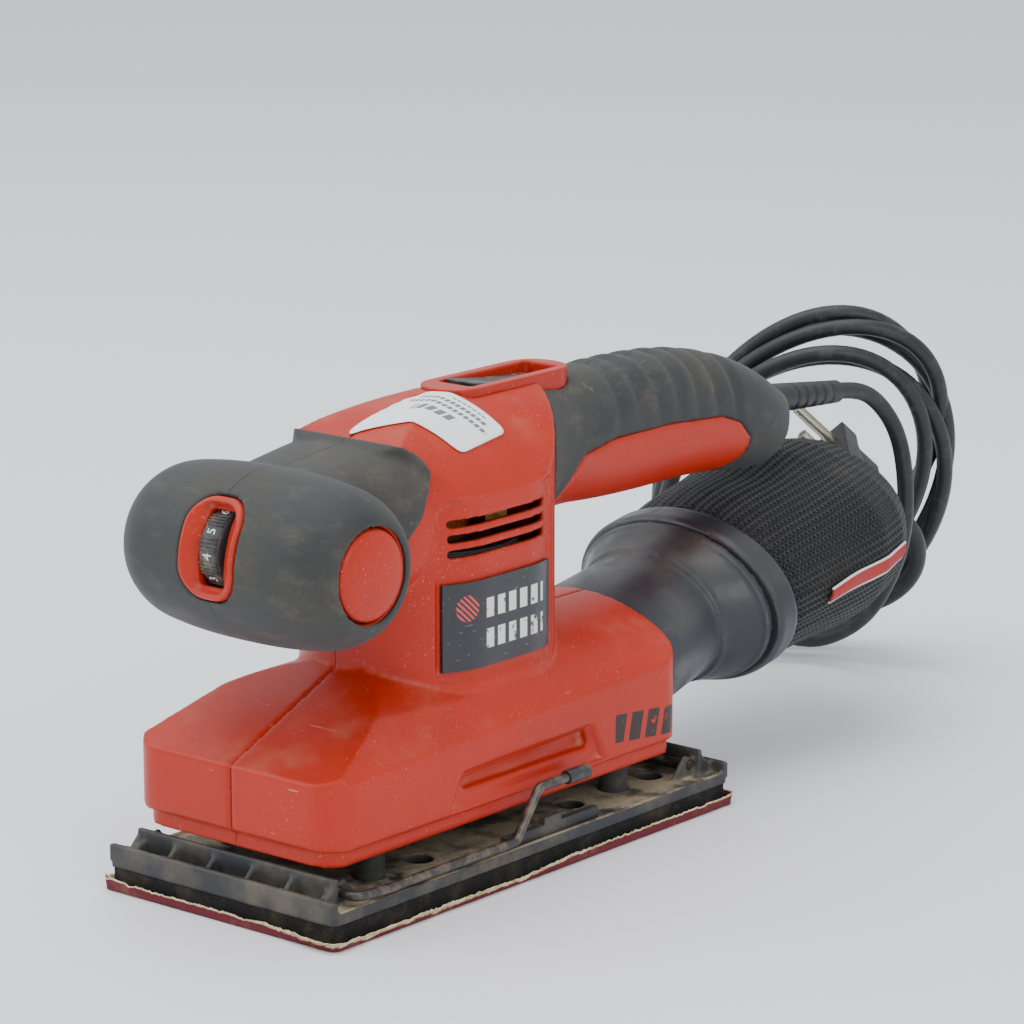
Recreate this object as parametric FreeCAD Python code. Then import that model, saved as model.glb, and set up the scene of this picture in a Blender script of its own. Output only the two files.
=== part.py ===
import FreeCAD, Part
import math
import os

# Orbital sander for one third of a sheet of paper, in millimetres.
# +Z is up and z = 0 is the working face of the sanding paper.
# The front (cross grip) faces -Y, the handle, dust bag and lead are at +Y,
# and the spindle axis passes through the origin.

# ---- driving dimensions: platen ----
PLATE_WIDTH = 91.0
PLATE_LENGTH = 188.0
PAPER_THICK = 0.8
PAPER_OVERHANG = 1.0
FOAM_THICK = 6.0
PLATE_THICK = 3.2
LIP_HEIGHT = 4.2
LIP_THICK = 2.2
END_WALL_SETBACK = 6.6
END_WALL_THICK = 1.8
END_WALL_HEIGHT = 8.6
DIVIDER_COUNT = 6
GUSSET_X = 37.3
SIDE_RIM_HEIGHT = 1.0
DUST_HOLE_RADIUS = 4.5
ORBIT_RADIUS = 1.0
POSTS = [(sx * 27.0, sy * 58.0) for sx in (-1, 1) for sy in (-1, 1)]
POST_RADIUS = 4.6
POST_TOP = 38.0
SOCKET_RADIUS = POST_RADIUS + 2 * ORBIT_RADIUS + 0.4

# ---- driving dimensions: housing ----
BASE_WIDTH = 82.0
BASE_FRONT = 89.0
BASE_REAR = 77.0
BASE_CORNER = 10.0
SKIRT_BOTTOM = 20.6
SKIRT_INSET = 2.6
BODY_BOTTOM = 26.0
SHOULDER_FRONT = 46.0
SHOULDER_REAR = 52.0
SHELF_TOP = 66.0
COWL_TOP = 67.0
WALL = 2.5
CHAMBER_TOP = 43.0
TOWER_RADIUS = 33.0
TOWER_STRAIGHT = 9.5
TOWER_TOP = 143.5
MOTOR_FLOOR = 52.0

# ---- driving dimensions: grips ----
GRIP_Y = -72.0
GRIP_Z = 106.5
GRIP_RADIUS = 26.0
GRIP_HALF = 42.0
RUBBER = 2.8
CAP_RADIUS = 14.3
NECK_HALF = 27.0
NECK_BOTTOM = 88.0
NECK_TOP = 132.0
HANDLE_HALF_WIDTH = 17.5
# outline (y, z) of the rubber that runs from the cross grip on to the tower
RUBBER_EDGE = [
    (-80, 98), (-80, 150), (-37, 150), (-36.5, 136), (-33, 134), (-30.5, 132), (-29.5, 129),
    (-29.5, 125.5), (-32, 122), (-36, 115), (-44, 106), (-60, 98),
]
# outline (y, z) of the red panel let into the rubber of the handle
INSERT_WINDOW = [
    (10, 80), (10, 118), (30, 104), (38, 103), (46, 110), (54, 117), (72, 119.5),
    (100, 119.5), (127, 117.5), (137, 114), (143, 107.5), (141.5, 102), (135, 98), (133, 80),
]
# places (y, z) of the screws that join the halves
SCREWS = ((-72.0, 36.0), (-36.3, 78.0), (58.0, 56.0), (36.3, 84.0), (100.0, 119.0), (143.0, 110.0))
SCREW_RADIUS = 1.8
SCREW_HEAD_RADIUS = 3.4
SCREW_HEAD_X = -11.0

# ---- driving dimensions: switch, speed dial and labels ----
SWITCH_FRONT = 3.0
SWITCH_REAR = 61.0
SWITCH_HALF = 10.5
FRAME_DEPTH = 14.0
SWITCH_DEPTH = 20.0
SWITCH_TOP = TOWER_TOP + 0.6
ROCKER_Y = 34.0
ROCKER_Z = SWITCH_TOP - 9.0
ROCKER_PIN_RADIUS = 1.5
DIAL_Y = GRIP_Y - 12.5
DIAL_Z = GRIP_Z + 4.2
DIAL_RADIUS = 12.4
DIAL_HALF = 4.2
DIAL_PIN_RADIUS = 1.6
DIAL_RIBS = 30
DIAL_TILT = 15.0
LABEL_BOTTOM = 65.5
LABEL_TOP = 92.5
# corners (x, y) of the paper sticker, seen from above
STICKER = [(-2.5, -33), (1.5, -36), (25.5, -15), (26, -12), (23.5, 9), (20, 10.5), (3, 2.5), (-1, -1)]

# ---- driving dimensions: motor and drive ----
SHAFT_RADIUS = 4.0
BEARING_OUTER = 11.0
BEARING_HEIGHT = 7.0
LOWER_BEARING_Z = 44.5
UPPER_BEARING_OUTER = 9.5
UPPER_BEARING_HEIGHT = 6.0
UPPER_BEARING_Z = 123.5
UPPER_SHAFT_RADIUS = 3.0
ARMATURE_RADIUS = 15.0
AIR_GAP = 0.6
STATOR_RADIUS = 28.0
STACK_BOTTOM = 66.0
STACK_HEIGHT = 34.0
COMMUTATOR_RADIUS = 10.5
COMMUTATOR_Z = 107.0
COMMUTATOR_HEIGHT = 12.0
FAN_RADIUS = 32.0
FAN_BOTTOM = 30.5
FAN_BLADES = 12
FIT = 0.05

# ---- driving dimensions: dust collector ----
DUCT_TILT = 11.0
DUCT_START_Z = 44.1
DUCT_WALL = 2.2
SPIGOT_WIDTH = 36.5
SPIGOT_HEIGHT = 20.0
SPIGOT_START = 66.0
BAG_LENGTH = 82.0

# ---- driving dimensions: wires, lead and plug ----
CLAMP_WIRE_RADIUS = 1.5
CLAMP_ARM_X = 45.2
LEAD_RADIUS = 2.9
HANK_CENTRE = (-34.0, 254.0, 69.0)
HANK_ACROSS = (0.769, 0.639, 0.0)
HANK_UP = (0.180, -0.217, 0.959)
HANK_HALF_WIDTH = 50.0
HANK_HALF_HEIGHT = 66.0
HANK_THICK = 31.0
HANK_LEAN = 30.0
HANK_HOLE_OFFSET = -8.0
HANK_HOLE_HALF_WIDTH = 37.0
HANK_HOLE_HALF_HEIGHT = 48.0
RELIEF_Y = 174.0
RELIEF_Z = 113.5
RELIEF_RADIUS = 5.2
RELIEF_LENGTH = 40.0
RELIEF_DROOP = 5.2
# corners of the lead, from the strain relief down to the foot of the hank
LEAD_ROUTE = [
    (0.5, 225.7, 109.2), (2.1, 237.8, 102.3), (4.8, 246.3, 89.1), (7.7, 246.8, 69.6),
    (6.0, 247.5, 51.7), (-1.0, 250.0, 36.5), (-11.0, 253.0, 22.5), (-24.0, 254.5, 12.0),
    (-40.0, 252.0, 6.0), (-58.0, 246.0, 4.6),
]
# corners of the tail, from the side of the hank round to the plug
PLUG_ENTRY = (-4.7, 254.7, 61.6)
TAIL_ROUTE = [
    (-22.9, 271.4, 19.3), (-12.0, 273.3, 26.2), (-4.5, 271.8, 35.2), (-0.8, 267.8, 44.9),
    (-0.9, 261.9, 54.1), PLUG_ENTRY,
]
PIN_X, PIN_Y, PIN_Z = (-0.384, -0.621, 0.684)

SIDES = (("left", 1.0), ("right", -1.0))
BIG = 400.0

os.makedirs("parts", exist_ok=True)
V = FreeCAD.Vector
PLATE_BOTTOM = PAPER_THICK + FOAM_THICK
PLATE_TOP = PLATE_BOTTOM + PLATE_THICK


def export(name, shape):
    shape.exportStep("parts/" + name + ".step")


def box(x0, x1, y0, y1, z0, z1):
    return Part.makeBox(x1 - x0, y1 - y0, z1 - z0, V(x0, y0, z0))


def cyl_z(x, y, z0, z1, radius):
    return Part.makeCylinder(radius, z1 - z0, V(x, y, z0))


def cyl_x(x0, x1, y, z, radius):
    return Part.makeCylinder(radius, x1 - x0, V(x0, y, z), V(1, 0, 0))


def ring_z(x, y, z0, z1, outer, inner):
    return cyl_z(x, y, z0, z1, outer).cut(cyl_z(x, y, z0, z1, inner))


def fused(shapes):
    whole = shapes[0]
    for shape in shapes[1:]:
        whole = whole.fuse(shape)
    return whole


def one_solid(shape):
    """The largest solid of a shape, without the crumbs that a cut can leave."""
    return max(shape.Solids, key=lambda s: s.Volume)


def polygon_x(points, x0, x1):
    """A side-view outline of (y, z) points, extruded along X."""
    corners = [V(x0, y, z) for y, z in points]
    return Part.Face(Part.makePolygon(corners + corners[:1])).extrude(V(x1 - x0, 0, 0))


def smooth_side(points, x0, x1, floor_z):
    """Everything under a smooth side-view curve, down to a flat floor."""
    curve = Part.BSplineCurve()
    curve.interpolate([V(x0, y, z) for y, z in points])
    first = V(x0, points[0][0], floor_z)
    last = V(x0, points[-1][0], floor_z)
    edges = [
        curve.toShape(),
        Part.makeLine(V(x0, *points[-1]), last),
        Part.makeLine(last, first),
        Part.makeLine(first, V(x0, *points[0])),
    ]
    return Part.Face(Part.Wire(edges)).extrude(V(x1 - x0, 0, 0))


def rounded_rectangle(x0, x1, y0, y1, radius, z):
    """A closed level outline with four round corners."""
    edges = []
    corners = (
        (x1 - radius, y1 - radius, 0.0),
        (x0 + radius, y1 - radius, 90.0),
        (x0 + radius, y0 + radius, 180.0),
        (x1 - radius, y0 + radius, 270.0),
    )

    def on_corner(corner, angle):
        a = math.radians(corner[2] + angle)
        return V(corner[0] + radius * math.cos(a), corner[1] + radius * math.sin(a), z)

    for i, corner in enumerate(corners):
        following = corners[(i + 1) % 4]
        arc = [on_corner(corner, angle) for angle in (0, 45, 90)]
        edges.append(Part.Arc(*arc).toShape())
        if arc[-1].distanceToPoint(on_corner(following, 0)) > 1e-6:
            edges.append(Part.makeLine(arc[-1], on_corner(following, 0)))
    return Part.Wire(edges)


def prism(x0, x1, y0, y1, radius, z0, z1):
    wire = rounded_rectangle(x0, x1, y0, y1, radius, z0)
    return Part.Face(wire).extrude(V(0, 0, z1 - z0))


def prism_x(x0, x1, y0, y1, z0, z1, radius):
    """A block extruded along X whose side view has round corners."""
    block = prism(-z1, -z0, y0, y1, radius, x0, x1)
    block.rotate(V(0, 0, 0), V(0, 1, 0), 90)
    return block


def stadium(radius, z0, z1):
    """The tower's plan: two half circles joined by short straight sides."""
    middle = box(-radius, radius, -TOWER_STRAIGHT, TOWER_STRAIGHT, z0, z1)
    ends = [cyl_z(0, s * TOWER_STRAIGHT, z0, z1, radius) for s in (-1, 1)]
    return fused([middle] + ends)


def oval_section(width, height, centre_y, centre_z, tilt):
    """An elliptic outline across the Y direction, its plane leaning by tilt degrees."""
    outline = Part.Ellipse(V(0, 0, 0), width, height).toShape()
    a = math.radians(tilt)
    placement = FreeCAD.Matrix(
        1, 0, 0, 0,
        0, -math.sin(a), -math.cos(a), centre_y,
        0, math.cos(a), -math.sin(a), centre_z,
        0, 0, 0, 1,
    )
    return Part.Wire([outline.transformGeometry(placement).Edges[0]])


def duct_section(t, width, height):
    """A section of the dust collector at distance t along its rising axis."""
    a = math.radians(DUCT_TILT)
    y = BASE_REAR + t * math.cos(a)
    z = DUCT_START_Z + t * math.sin(a)
    return oval_section(width, height, y, z, DUCT_TILT)


def duct_loft(sections, ruled=False):
    return Part.makeLoft([duct_section(*s) for s in sections], True, ruled)


def round_path(points, bend_radius=None):
    """Straight runs joined by tangent arcs, and the arcs' radii."""
    points = [V(*p) for p in points]
    edges = []
    radii = []
    start = points[0]
    for i in range(1, len(points) - 1):
        back = points[i - 1] - points[i]
        ahead = points[i + 1] - points[i]
        shorter = min(back.Length, ahead.Length)
        back.normalize()
        ahead.normalize()
        half_turn = (math.pi - back.getAngle(ahead)) / 2
        reach = 0.45 * shorter
        if bend_radius is not None:
            reach = min(reach, bend_radius * math.tan(half_turn))
        radius = reach / math.tan(half_turn)
        inward = back + ahead
        inward.normalize()
        first = points[i] + back * reach
        last = points[i] + ahead * reach
        middle = points[i] + inward * (radius / math.cos(half_turn) - radius)
        edges.append(Part.LineSegment(start, first).toShape())
        edges.append(Part.Arc(first, middle, last).toShape())
        radii.append(radius)
        start = last
    edges.append(Part.LineSegment(start, points[-1]).toShape())
    return Part.Wire(edges), radii


def tube(points, radius, bend_radius=None):
    path, radii = round_path(points, bend_radius)
    first = path.Edges[0]
    outline = Part.Circle(V(*points[0]), first.tangentAt(first.FirstParameter), radius)
    shape = path.makePipeShell([Part.Wire([outline.toShape()])], True, False)
    expected = math.pi * radius**2 * path.Length
    return shape, radii, path.Length, shape.Volume / expected


# ---------------- housing: outer forms ----------------

def base_outer():
    """The low body: a sloping shelf in front of the tower and an arched cowl behind it."""
    half = BASE_WIDTH / 2
    skirt = prism(
        -half + SKIRT_INSET, half - SKIRT_INSET,
        -BASE_FRONT + SKIRT_INSET, BASE_REAR - SKIRT_INSET / 2,
        BASE_CORNER - SKIRT_INSET, SKIRT_BOTTOM, BODY_BOTTOM + 1,
    )
    body = prism(-half, half, -BASE_FRONT, BASE_REAR, BASE_CORNER, BODY_BOTTOM, COWL_TOP)
    tower_front = -TOWER_RADIUS - TOWER_STRAIGHT
    shelf = polygon_x([
        (-BASE_FRONT - 1, 0), (-BASE_FRONT - 1, SHOULDER_FRONT), (-BASE_FRONT, SHOULDER_FRONT),
        (tower_front, SHELF_TOP), (tower_front + 5, COWL_TOP + 3), (BASE_REAR + 1, COWL_TOP + 3),
        (BASE_REAR + 1, 0),
    ], -BIG, BIG)
    sagitta = COWL_TOP - SHOULDER_REAR
    cowl_radius = (half**2 + sagitta**2) / (2 * sagitta)
    cowl = Part.makeCylinder(
        cowl_radius, BIG, V(0, -BIG / 2, COWL_TOP - cowl_radius), V(0, 1, 0)
    )
    body = body.common(shelf).common(cowl)
    for side in (-1, 1):
        # a slanted plane from the shoulder line up towards the tower
        corners = [
            (side * (half + 1), -20), (side * (half + 1), SHOULDER_FRONT - 1.2),
            (side * (half - 30), SHOULDER_FRONT + 36), (-side * 60, 90), (-side * 60, -20),
        ]
        run = V(0, BASE_REAR + BASE_FRONT, SHOULDER_REAR - SHOULDER_FRONT)
        outline = [V(x, -BASE_FRONT, z) - run for x, z in corners]
        face = Part.Face(Part.makePolygon(outline + outline[:1]))
        body = body.common(face.extrude(run * 3))
    return skirt.fuse(body)


def tower_outer(grow=0.0):
    """The motor tower; grow gives the skin that a label lies in."""
    body = stadium(TOWER_RADIUS + grow, MOTOR_FLOOR, TOWER_TOP + 10)
    crown = [
        (-60, 117 + grow), (-42.5, 130.5 + grow), (-34, 136 + grow), (-20, 140.5 + grow),
        (-6, 142.8 + grow), (10, TOWER_TOP + grow), (26, TOWER_TOP + grow), (42, 141 + grow),
        (60, 138 + grow),
    ]
    side = smooth_side(crown, -60, 60, 40)
    half = TOWER_RADIUS + grow
    arch = [(-half, 112), (-30.5, 121), (-24.5, 131), (-13, 140.5), (0, TOWER_TOP + 1 + grow),
            (13, 140.5), (24.5, 131), (30.5, 121), (half, 112)]
    curve = Part.BSplineCurve()
    curve.interpolate([V(x, -BIG / 4, z + grow) for x, z in arch])
    a = V(-half, -BIG / 4, 40)
    b = V(half, -BIG / 4, 40)
    edges = [
        curve.toShape(),
        Part.makeLine(V(half, -BIG / 4, arch[-1][1] + grow), b),
        Part.makeLine(b, a),
        Part.makeLine(a, V(-half, -BIG / 4, arch[0][1] + grow)),
    ]
    across = Part.Face(Part.Wire(edges)).extrude(V(0, BIG / 2, 0))
    return one_solid(body.common(side).common(across))


def grip_barrel(inset):
    """The cross grip, turned about its own X axis; inset 0 is the rubber's outside."""
    r = GRIP_RADIUS
    h = GRIP_HALF
    half = [(0, r), (h * 0.36, r - 0.4), (h * 0.6, r - 1.4), (h * 0.78, r - 3.0),
            (h * 0.9, r - 5.6), (h * 0.97, r - 8.2), (h, r - 10.6)]
    right = [(x, radius - inset) for x, radius in half]
    points = [(-x, radius) for x, radius in reversed(right[1:])] + right
    curve = Part.BSplineCurve()
    curve.interpolate([V(x, GRIP_Y, GRIP_Z + radius) for x, radius in points])
    low = V(-h, GRIP_Y, GRIP_Z)
    high = V(h, GRIP_Y, GRIP_Z)
    edges = [
        curve.toShape(),
        Part.makeLine(V(h, GRIP_Y, GRIP_Z + points[-1][1]), high),
        Part.makeLine(high, low),
        Part.makeLine(low, V(-h, GRIP_Y, GRIP_Z + points[0][1])),
    ]
    face = Part.Face(Part.Wire(edges))
    return face.revolve(V(0, GRIP_Y, GRIP_Z), V(1, 0, 0), 360)


def section_y(y, half_width, z0, z1, power=0.8):
    """A rounded outline across the Y direction; a smaller power makes it squarer."""
    middle = (z0 + z1) / 2
    tall = (z1 - z0) / 2
    points = []
    for i in range(24):
        a = 2 * math.pi * i / 24
        c = math.cos(a)
        s = math.sin(a)
        x = half_width * math.copysign(abs(c) ** power, c)
        z = middle + tall * math.copysign(abs(s) ** power, s)
        points.append(V(x, y, z))
    curve = Part.BSplineCurve()
    curve.interpolate(points, PeriodicFlag=True)
    return Part.Wire([curve.toShape()])


def neck_body(inset):
    half = NECK_HALF + RUBBER - inset
    top = NECK_TOP + RUBBER - inset
    sections = [
        section_y(GRIP_Y, half - 5, NECK_BOTTOM + 4, top - 4, 0.65),
        section_y(-52, half - 2, NECK_BOTTOM, top - 2, 0.65),
        section_y(-36, half, NECK_BOTTOM, top - 0.5, 0.65),
        section_y(-20, half - 1, NECK_BOTTOM, top, 0.65),
    ]
    return Part.makeLoft(sections, True)


def handle_body(inset):
    """The rear handle: inset 0 is the rubber's outside."""
    w = HANDLE_HALF_WIDTH - inset
    i = inset
    sections = [
        section_y(12, w + 8, 98 + i, 141.5 - i),
        section_y(40, w + 4, 98 + i, 141.5 - i),
        section_y(68, w, 98 + i, 141 - i),
        section_y(100, w, 97 + i, 141 - i),
        section_y(134, w, 96 + i, 136.5 - i),
        section_y(155, w - 0.5, 94 + i, 128.5 - i),
        section_y(168 - i / 2, w - 4, 97 + i, 121 - i),
        section_y(175 - i, w - 9, 103 + i, 117.5 - i),
    ]
    return Part.makeLoft(sections, True)


# ---------------- housing shells ----------------

def cavities():
    half = BASE_WIDTH / 2 - WALL - SKIRT_INSET
    chamber = prism(
        -half, half, -BASE_FRONT + SKIRT_INSET + WALL, BASE_REAR - SKIRT_INSET - WALL,
        BASE_CORNER - SKIRT_INSET - WALL + 2, SKIRT_BOTTOM - 1, CHAMBER_TOP,
    )
    motor = stadium(TOWER_RADIUS - WALL - 1, MOTOR_FLOOR, 118.0)
    upper = prism(-24, 24, -30, 46, 10, 117.0, 131.0)
    barrel = cyl_x(-GRIP_HALF + 7, GRIP_HALF - 7, GRIP_Y, GRIP_Z, GRIP_RADIUS - RUBBER - 7.5)
    neck = box(-14, 14, GRIP_Y, -25, 98, 122)
    handle = Part.makeLoft([
        section_y(40, 13, 105, 134), section_y(70, 11.5, 105, 134),
        section_y(128, 11.5, 104, 129), section_y(154, 9, 103, 119),
    ], True)
    passage = Part.Face(
        oval_section(SPIGOT_WIDTH - 2, SPIGOT_HEIGHT - 2, 50, DUCT_START_Z, 0)
    ).extrude(V(0, BIG, 0)).common(box(-60, 60, 50, 80, 0, 80))
    return [chamber, motor, upper, barrel, neck, handle, passage]


def housing_full(tower, handle_skin):
    """Both halves in one, hollowed, with its posts, bosses and seats; and its outer form."""
    insert = handle_skin.common(polygon_x(INSERT_WINDOW, -60, 60))
    outer = fused([
        base_outer(), tower, grip_barrel(RUBBER), neck_body(RUBBER), handle_body(RUBBER), insert,
    ])
    shell = outer.cut(cavities())
    posts = [cyl_z(x, y, 28.0, 60.0, SOCKET_RADIUS + 2.2) for x, y in POSTS]
    bosses = [cyl_x(-60, 16, y, z, 5.0) for y, z in SCREWS]
    seat = cyl_z(0, 0, CHAMBER_TOP - 1, MOTOR_FLOOR + 2, BEARING_OUTER + 3)
    top_seat = cyl_z(0, 0, UPPER_BEARING_Z - 3, TOWER_TOP - 2, UPPER_BEARING_OUTER + 2.5)
    for inner in posts + bosses + [seat, top_seat]:
        shell = shell.fuse(inner.common(outer))
    return shell, outer


def housing_cuts():
    """Seats, sockets, slots and screw holes that both halves share."""
    cuts = [cyl_z(x, y, 20.0, POST_TOP + 4, SOCKET_RADIUS) for x, y in POSTS]
    cuts.append(cyl_z(0, 0, LOWER_BEARING_Z, LOWER_BEARING_Z + BEARING_HEIGHT, BEARING_OUTER))
    cuts.append(cyl_z(0, 0, CHAMBER_TOP - 2, MOTOR_FLOOR + 3, BEARING_OUTER - 3))
    cuts.append(cyl_z(
        0, 0, UPPER_BEARING_Z, UPPER_BEARING_Z + UPPER_BEARING_HEIGHT, UPPER_BEARING_OUTER
    ))
    cuts.append(cyl_z(0, 0, UPPER_BEARING_Z - 4, UPPER_BEARING_Z + 0.5, UPPER_BEARING_OUTER - 2))
    spigot = Part.Face(
        oval_section(SPIGOT_WIDTH, SPIGOT_HEIGHT, SPIGOT_START, DUCT_START_Z, 0)
    ).extrude(V(0, BASE_REAR + 5 - SPIGOT_START, 0))
    cuts.append(spigot)
    for y, z in SCREWS:
        cuts.append(cyl_x(-60, SCREW_HEAD_X, y, z, SCREW_HEAD_RADIUS))
        cuts.append(cyl_x(SCREW_HEAD_X, 14, y, z, SCREW_RADIUS))
    # fan outlets and their louvre in both flanks
    panel_ring = stadium(TOWER_RADIUS + 3, 61.5, 118).cut(stadium(TOWER_RADIUS - 1.3, 61.5, 118))
    for side in (-1, 1):
        x0 = min(side * 36, side * 60)
        x1 = max(side * 36, side * 60)
        cuts.append(polygon_x([(-29, 32.2), (-30, 35.8), (28.5, 37.8), (30.5, 32.2)], x0, x1))
        cuts.append(polygon_x([(-33, 28.2), (-33.4, 29.6), (33, 30.0), (33.5, 28.2)], x0, x1))
        skin0 = min(side * 39.2, side * 60)
        skin1 = max(side * 39.2, side * 60)
        cuts.append(polygon_x(
            [(-37, 27.0), (-31, 38.4), (30, 39.8), (36.5, 27.0)], skin0, skin1
        ))
        wall0 = min(side * 10, side * 60)
        wall1 = max(side * 10, side * 60)
        cuts.append(panel_ring.common(prism_x(wall0, wall1, -28, 25, 61.5, 118, 5.0)))
        wall0 = min(side * 18, side * 60)
        wall1 = max(side * 18, side * 60)
        for i in range(3):
            z = 100.0 + 4.6 * i
            cuts.append(prism_x(wall0, wall1, -23.5, 20.5, z, z + 2.4, 1.15))
    return cuts


def switch_cut():
    half = SWITCH_HALF
    mouth = prism(
        -half, half, SWITCH_FRONT, SWITCH_REAR, half - 0.5,
        SWITCH_TOP - FRAME_DEPTH, TOWER_TOP + 20,
    )
    return mouth.fuse(box(-9.5, 9.5, ROCKER_Y - 17, ROCKER_Y + 18,
                          TOWER_TOP - SWITCH_DEPTH, SWITCH_TOP - FRAME_DEPTH + 1))


def dial_cut():
    """The slot in the grip for the dial frame, square to the grip's surface."""
    pocket = box(-11, 11, -GRIP_RADIUS - 2, -GRIP_RADIUS + 7.5, -15.5, 15.5)
    pocket = pocket.makeFillet(
        9.5, [e for e in pocket.Edges if abs(e.tangentAt(e.FirstParameter).y) > 0.9]
    )
    wheel = cyl_x(-DIAL_HALF - 1, DIAL_HALF + 1, 0, 0, DIAL_RADIUS + 1.0)
    pocket.rotate(V(0, 0, 0), V(1, 0, 0), -DIAL_TILT)
    pocket.translate(V(0, GRIP_Y, GRIP_Z))
    wheel.translate(V(0, DIAL_Y, DIAL_Z))
    return pocket, wheel


def end_pocket(side, depth, radius):
    x0 = side * (GRIP_HALF - depth)
    x1 = side * (GRIP_HALF + 5)
    return cyl_x(min(x0, x1), max(x0, x1), GRIP_Y, GRIP_Z, radius)


tower = tower_outer()
handle_skin = handle_body(0.0)
shell, outer = housing_full(tower, handle_skin)
pocket, wheel_room = dial_cut()
pin_hole = cyl_x(-DIAL_HALF - 4, DIAL_HALF + 4, DIAL_Y, DIAL_Z, DIAL_PIN_RADIUS)
lead_bore = Part.makeCylinder(RELIEF_RADIUS, 34, V(0, RELIEF_Y - 24, RELIEF_Z), V(0, 1, 0))
cord_clamp = box(-11.0, 11.0, RELIEF_Y - 24, RELIEF_Y - 20, RELIEF_Z - 7, RELIEF_Z - 1)
end_pockets = [end_pocket(side, 4.5, CAP_RADIUS) for name, side in SIDES]
for cut in (housing_cuts() + [switch_cut(), pocket, wheel_room, pin_hole, lead_bore, cord_clamp]
            + end_pockets):
    shell = shell.cut(cut)
for name, side in SIDES:
    half_space = box(0, BIG, -BIG, BIG, -BIG, BIG) if side > 0 else box(-BIG, 0, -BIG, BIG, -BIG, BIG)
    export("housing_" + name, one_solid(shell.common(half_space)))

# ---------------- rubber grips, frames and labels ----------------

collar_zone = polygon_x(RUBBER_EDGE, -60, 60)
collar = neck_body(0.0).common(collar_zone).fuse(tower_outer(1.2).common(collar_zone))
grip_skin = grip_barrel(0.0).fuse(collar)
grip_rubber = grip_skin.cut(outer).cut(pocket)
for end in end_pockets:
    grip_rubber = grip_rubber.cut(end)
export("front_grip_rubber", one_solid(grip_rubber))

handle_front = polygon_x([(32, 90), (32, 150), (200, 150), (200, 80), (40, 80)], -60, 60)
handle_rubber = handle_skin.common(handle_front).cut(outer).cut(switch_cut())
for i in range(7):
    groove = Part.makeTorus(26.0, 1.3, V(0, 78 + 11.0 * i, 117.5 - 0.11 * i * i), V(0, 1, 0.12))
    groove = groove.common(box(-60, 60, 0, BIG, 126, 160))
    handle_rubber = handle_rubber.cut(groove)
handle_rubber = handle_rubber.cut(lead_bore)
export("handle_rubber", one_solid(handle_rubber))

for name, side in SIDES:
    plug_disc = end_pocket(side, 4.5, CAP_RADIUS - 0.6).common(
        box(-GRIP_HALF - 0.6, GRIP_HALF + 0.6, -BIG, BIG, -BIG, BIG)
    )
    export("grip_end_plug_" + name, plug_disc)

dial_skin = grip_barrel(-0.5)
dial_frame = pocket.common(dial_skin).cut(wheel_room)
dial_frame = dial_frame.cut(pin_hole)
dial_slot = box(-DIAL_HALF - 1, DIAL_HALF + 1, -BIG, DIAL_Y, DIAL_Z - 9.5, DIAL_Z + 10)
export("dial_frame", one_solid(dial_frame.cut(dial_slot)))
export("dial_pin", pin_hole)
dial = cyl_x(-DIAL_HALF, DIAL_HALF, DIAL_Y, DIAL_Z, DIAL_RADIUS)
dial = dial.cut(cyl_x(-30, 30, DIAL_Y, DIAL_Z, DIAL_PIN_RADIUS + FIT))
for i in range(DIAL_RIBS):
    a = 2 * math.pi * i / DIAL_RIBS
    y = DIAL_Y + (DIAL_RADIUS + 0.15) * math.cos(a)
    z = DIAL_Z + (DIAL_RADIUS + 0.15) * math.sin(a)
    dial = dial.cut(cyl_x(-DIAL_HALF, DIAL_HALF, y, z, 0.5))
export("speed_dial", dial)
export("speed_control_board", box(-9, 9, GRIP_Y + 1.5, GRIP_Y + 3.1, GRIP_Z - 11, GRIP_Z + 11).fuse(
    box(-6, 6, GRIP_Y + 3.1, GRIP_Y + 9, GRIP_Z - 6, GRIP_Z + 6)))

switch_frame = prism(-SWITCH_HALF, SWITCH_HALF, SWITCH_FRONT, SWITCH_REAR, SWITCH_HALF - 0.5,
                     SWITCH_TOP - FRAME_DEPTH, SWITCH_TOP)
rocker_room = prism(-6.6, 6.6, ROCKER_Y - 21.2, ROCKER_Y + 21.2, 1, SWITCH_TOP - 20, SWITCH_TOP + 10)
pivot = cyl_x(-7.8, 7.8, ROCKER_Y, ROCKER_Z, ROCKER_PIN_RADIUS)
pivot_hole = cyl_x(-8, 8, ROCKER_Y, ROCKER_Z, ROCKER_PIN_RADIUS + FIT)
export("switch_frame", switch_frame.cut(rocker_room).cut(pivot_hole))
# side view of the rocker, tipped towards "on" at the front
rocker_outline = [
    (-18.6, 9.4), (0, 7.0), (18.6, 5.6), (17.5, 0.5), (6, -2.5), (-6, -2.5), (-17.0, 3.0),
]
rocker = polygon_x([(ROCKER_Y + y, ROCKER_Z + z) for y, z in rocker_outline], -6.2, 6.2)
export("switch_rocker", rocker.fuse(pivot))
export("switch_body", box(-9.5, 9.5, ROCKER_Y - 17, ROCKER_Y + 18,
                          TOWER_TOP - SWITCH_DEPTH, SWITCH_TOP - FRAME_DEPTH))

label = stadium(TOWER_RADIUS - 0.1, LABEL_BOTTOM, LABEL_TOP)
label = label.cut(stadium(TOWER_RADIUS - 0.9, LABEL_BOTTOM, LABEL_TOP))
for name, side in SIDES:
    zone = box(min(side * 10, side * 60), max(side * 10, side * 60), -26.0, 21.0, 0, BIG)
    export("nameplate_" + name, label.common(zone))

corners = [V(x, y, 118) for x, y in STICKER]
label_zone = Part.Face(Part.makePolygon(corners + corners[:1])).extrude(V(0, 0, 42))
sticker = tower_outer(0.35).common(label_zone).cut(outer)
export("paper_sticker", one_solid(sticker.cut(switch_cut()).cut(grip_rubber)))

# ---------------- motor ----------------

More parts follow.
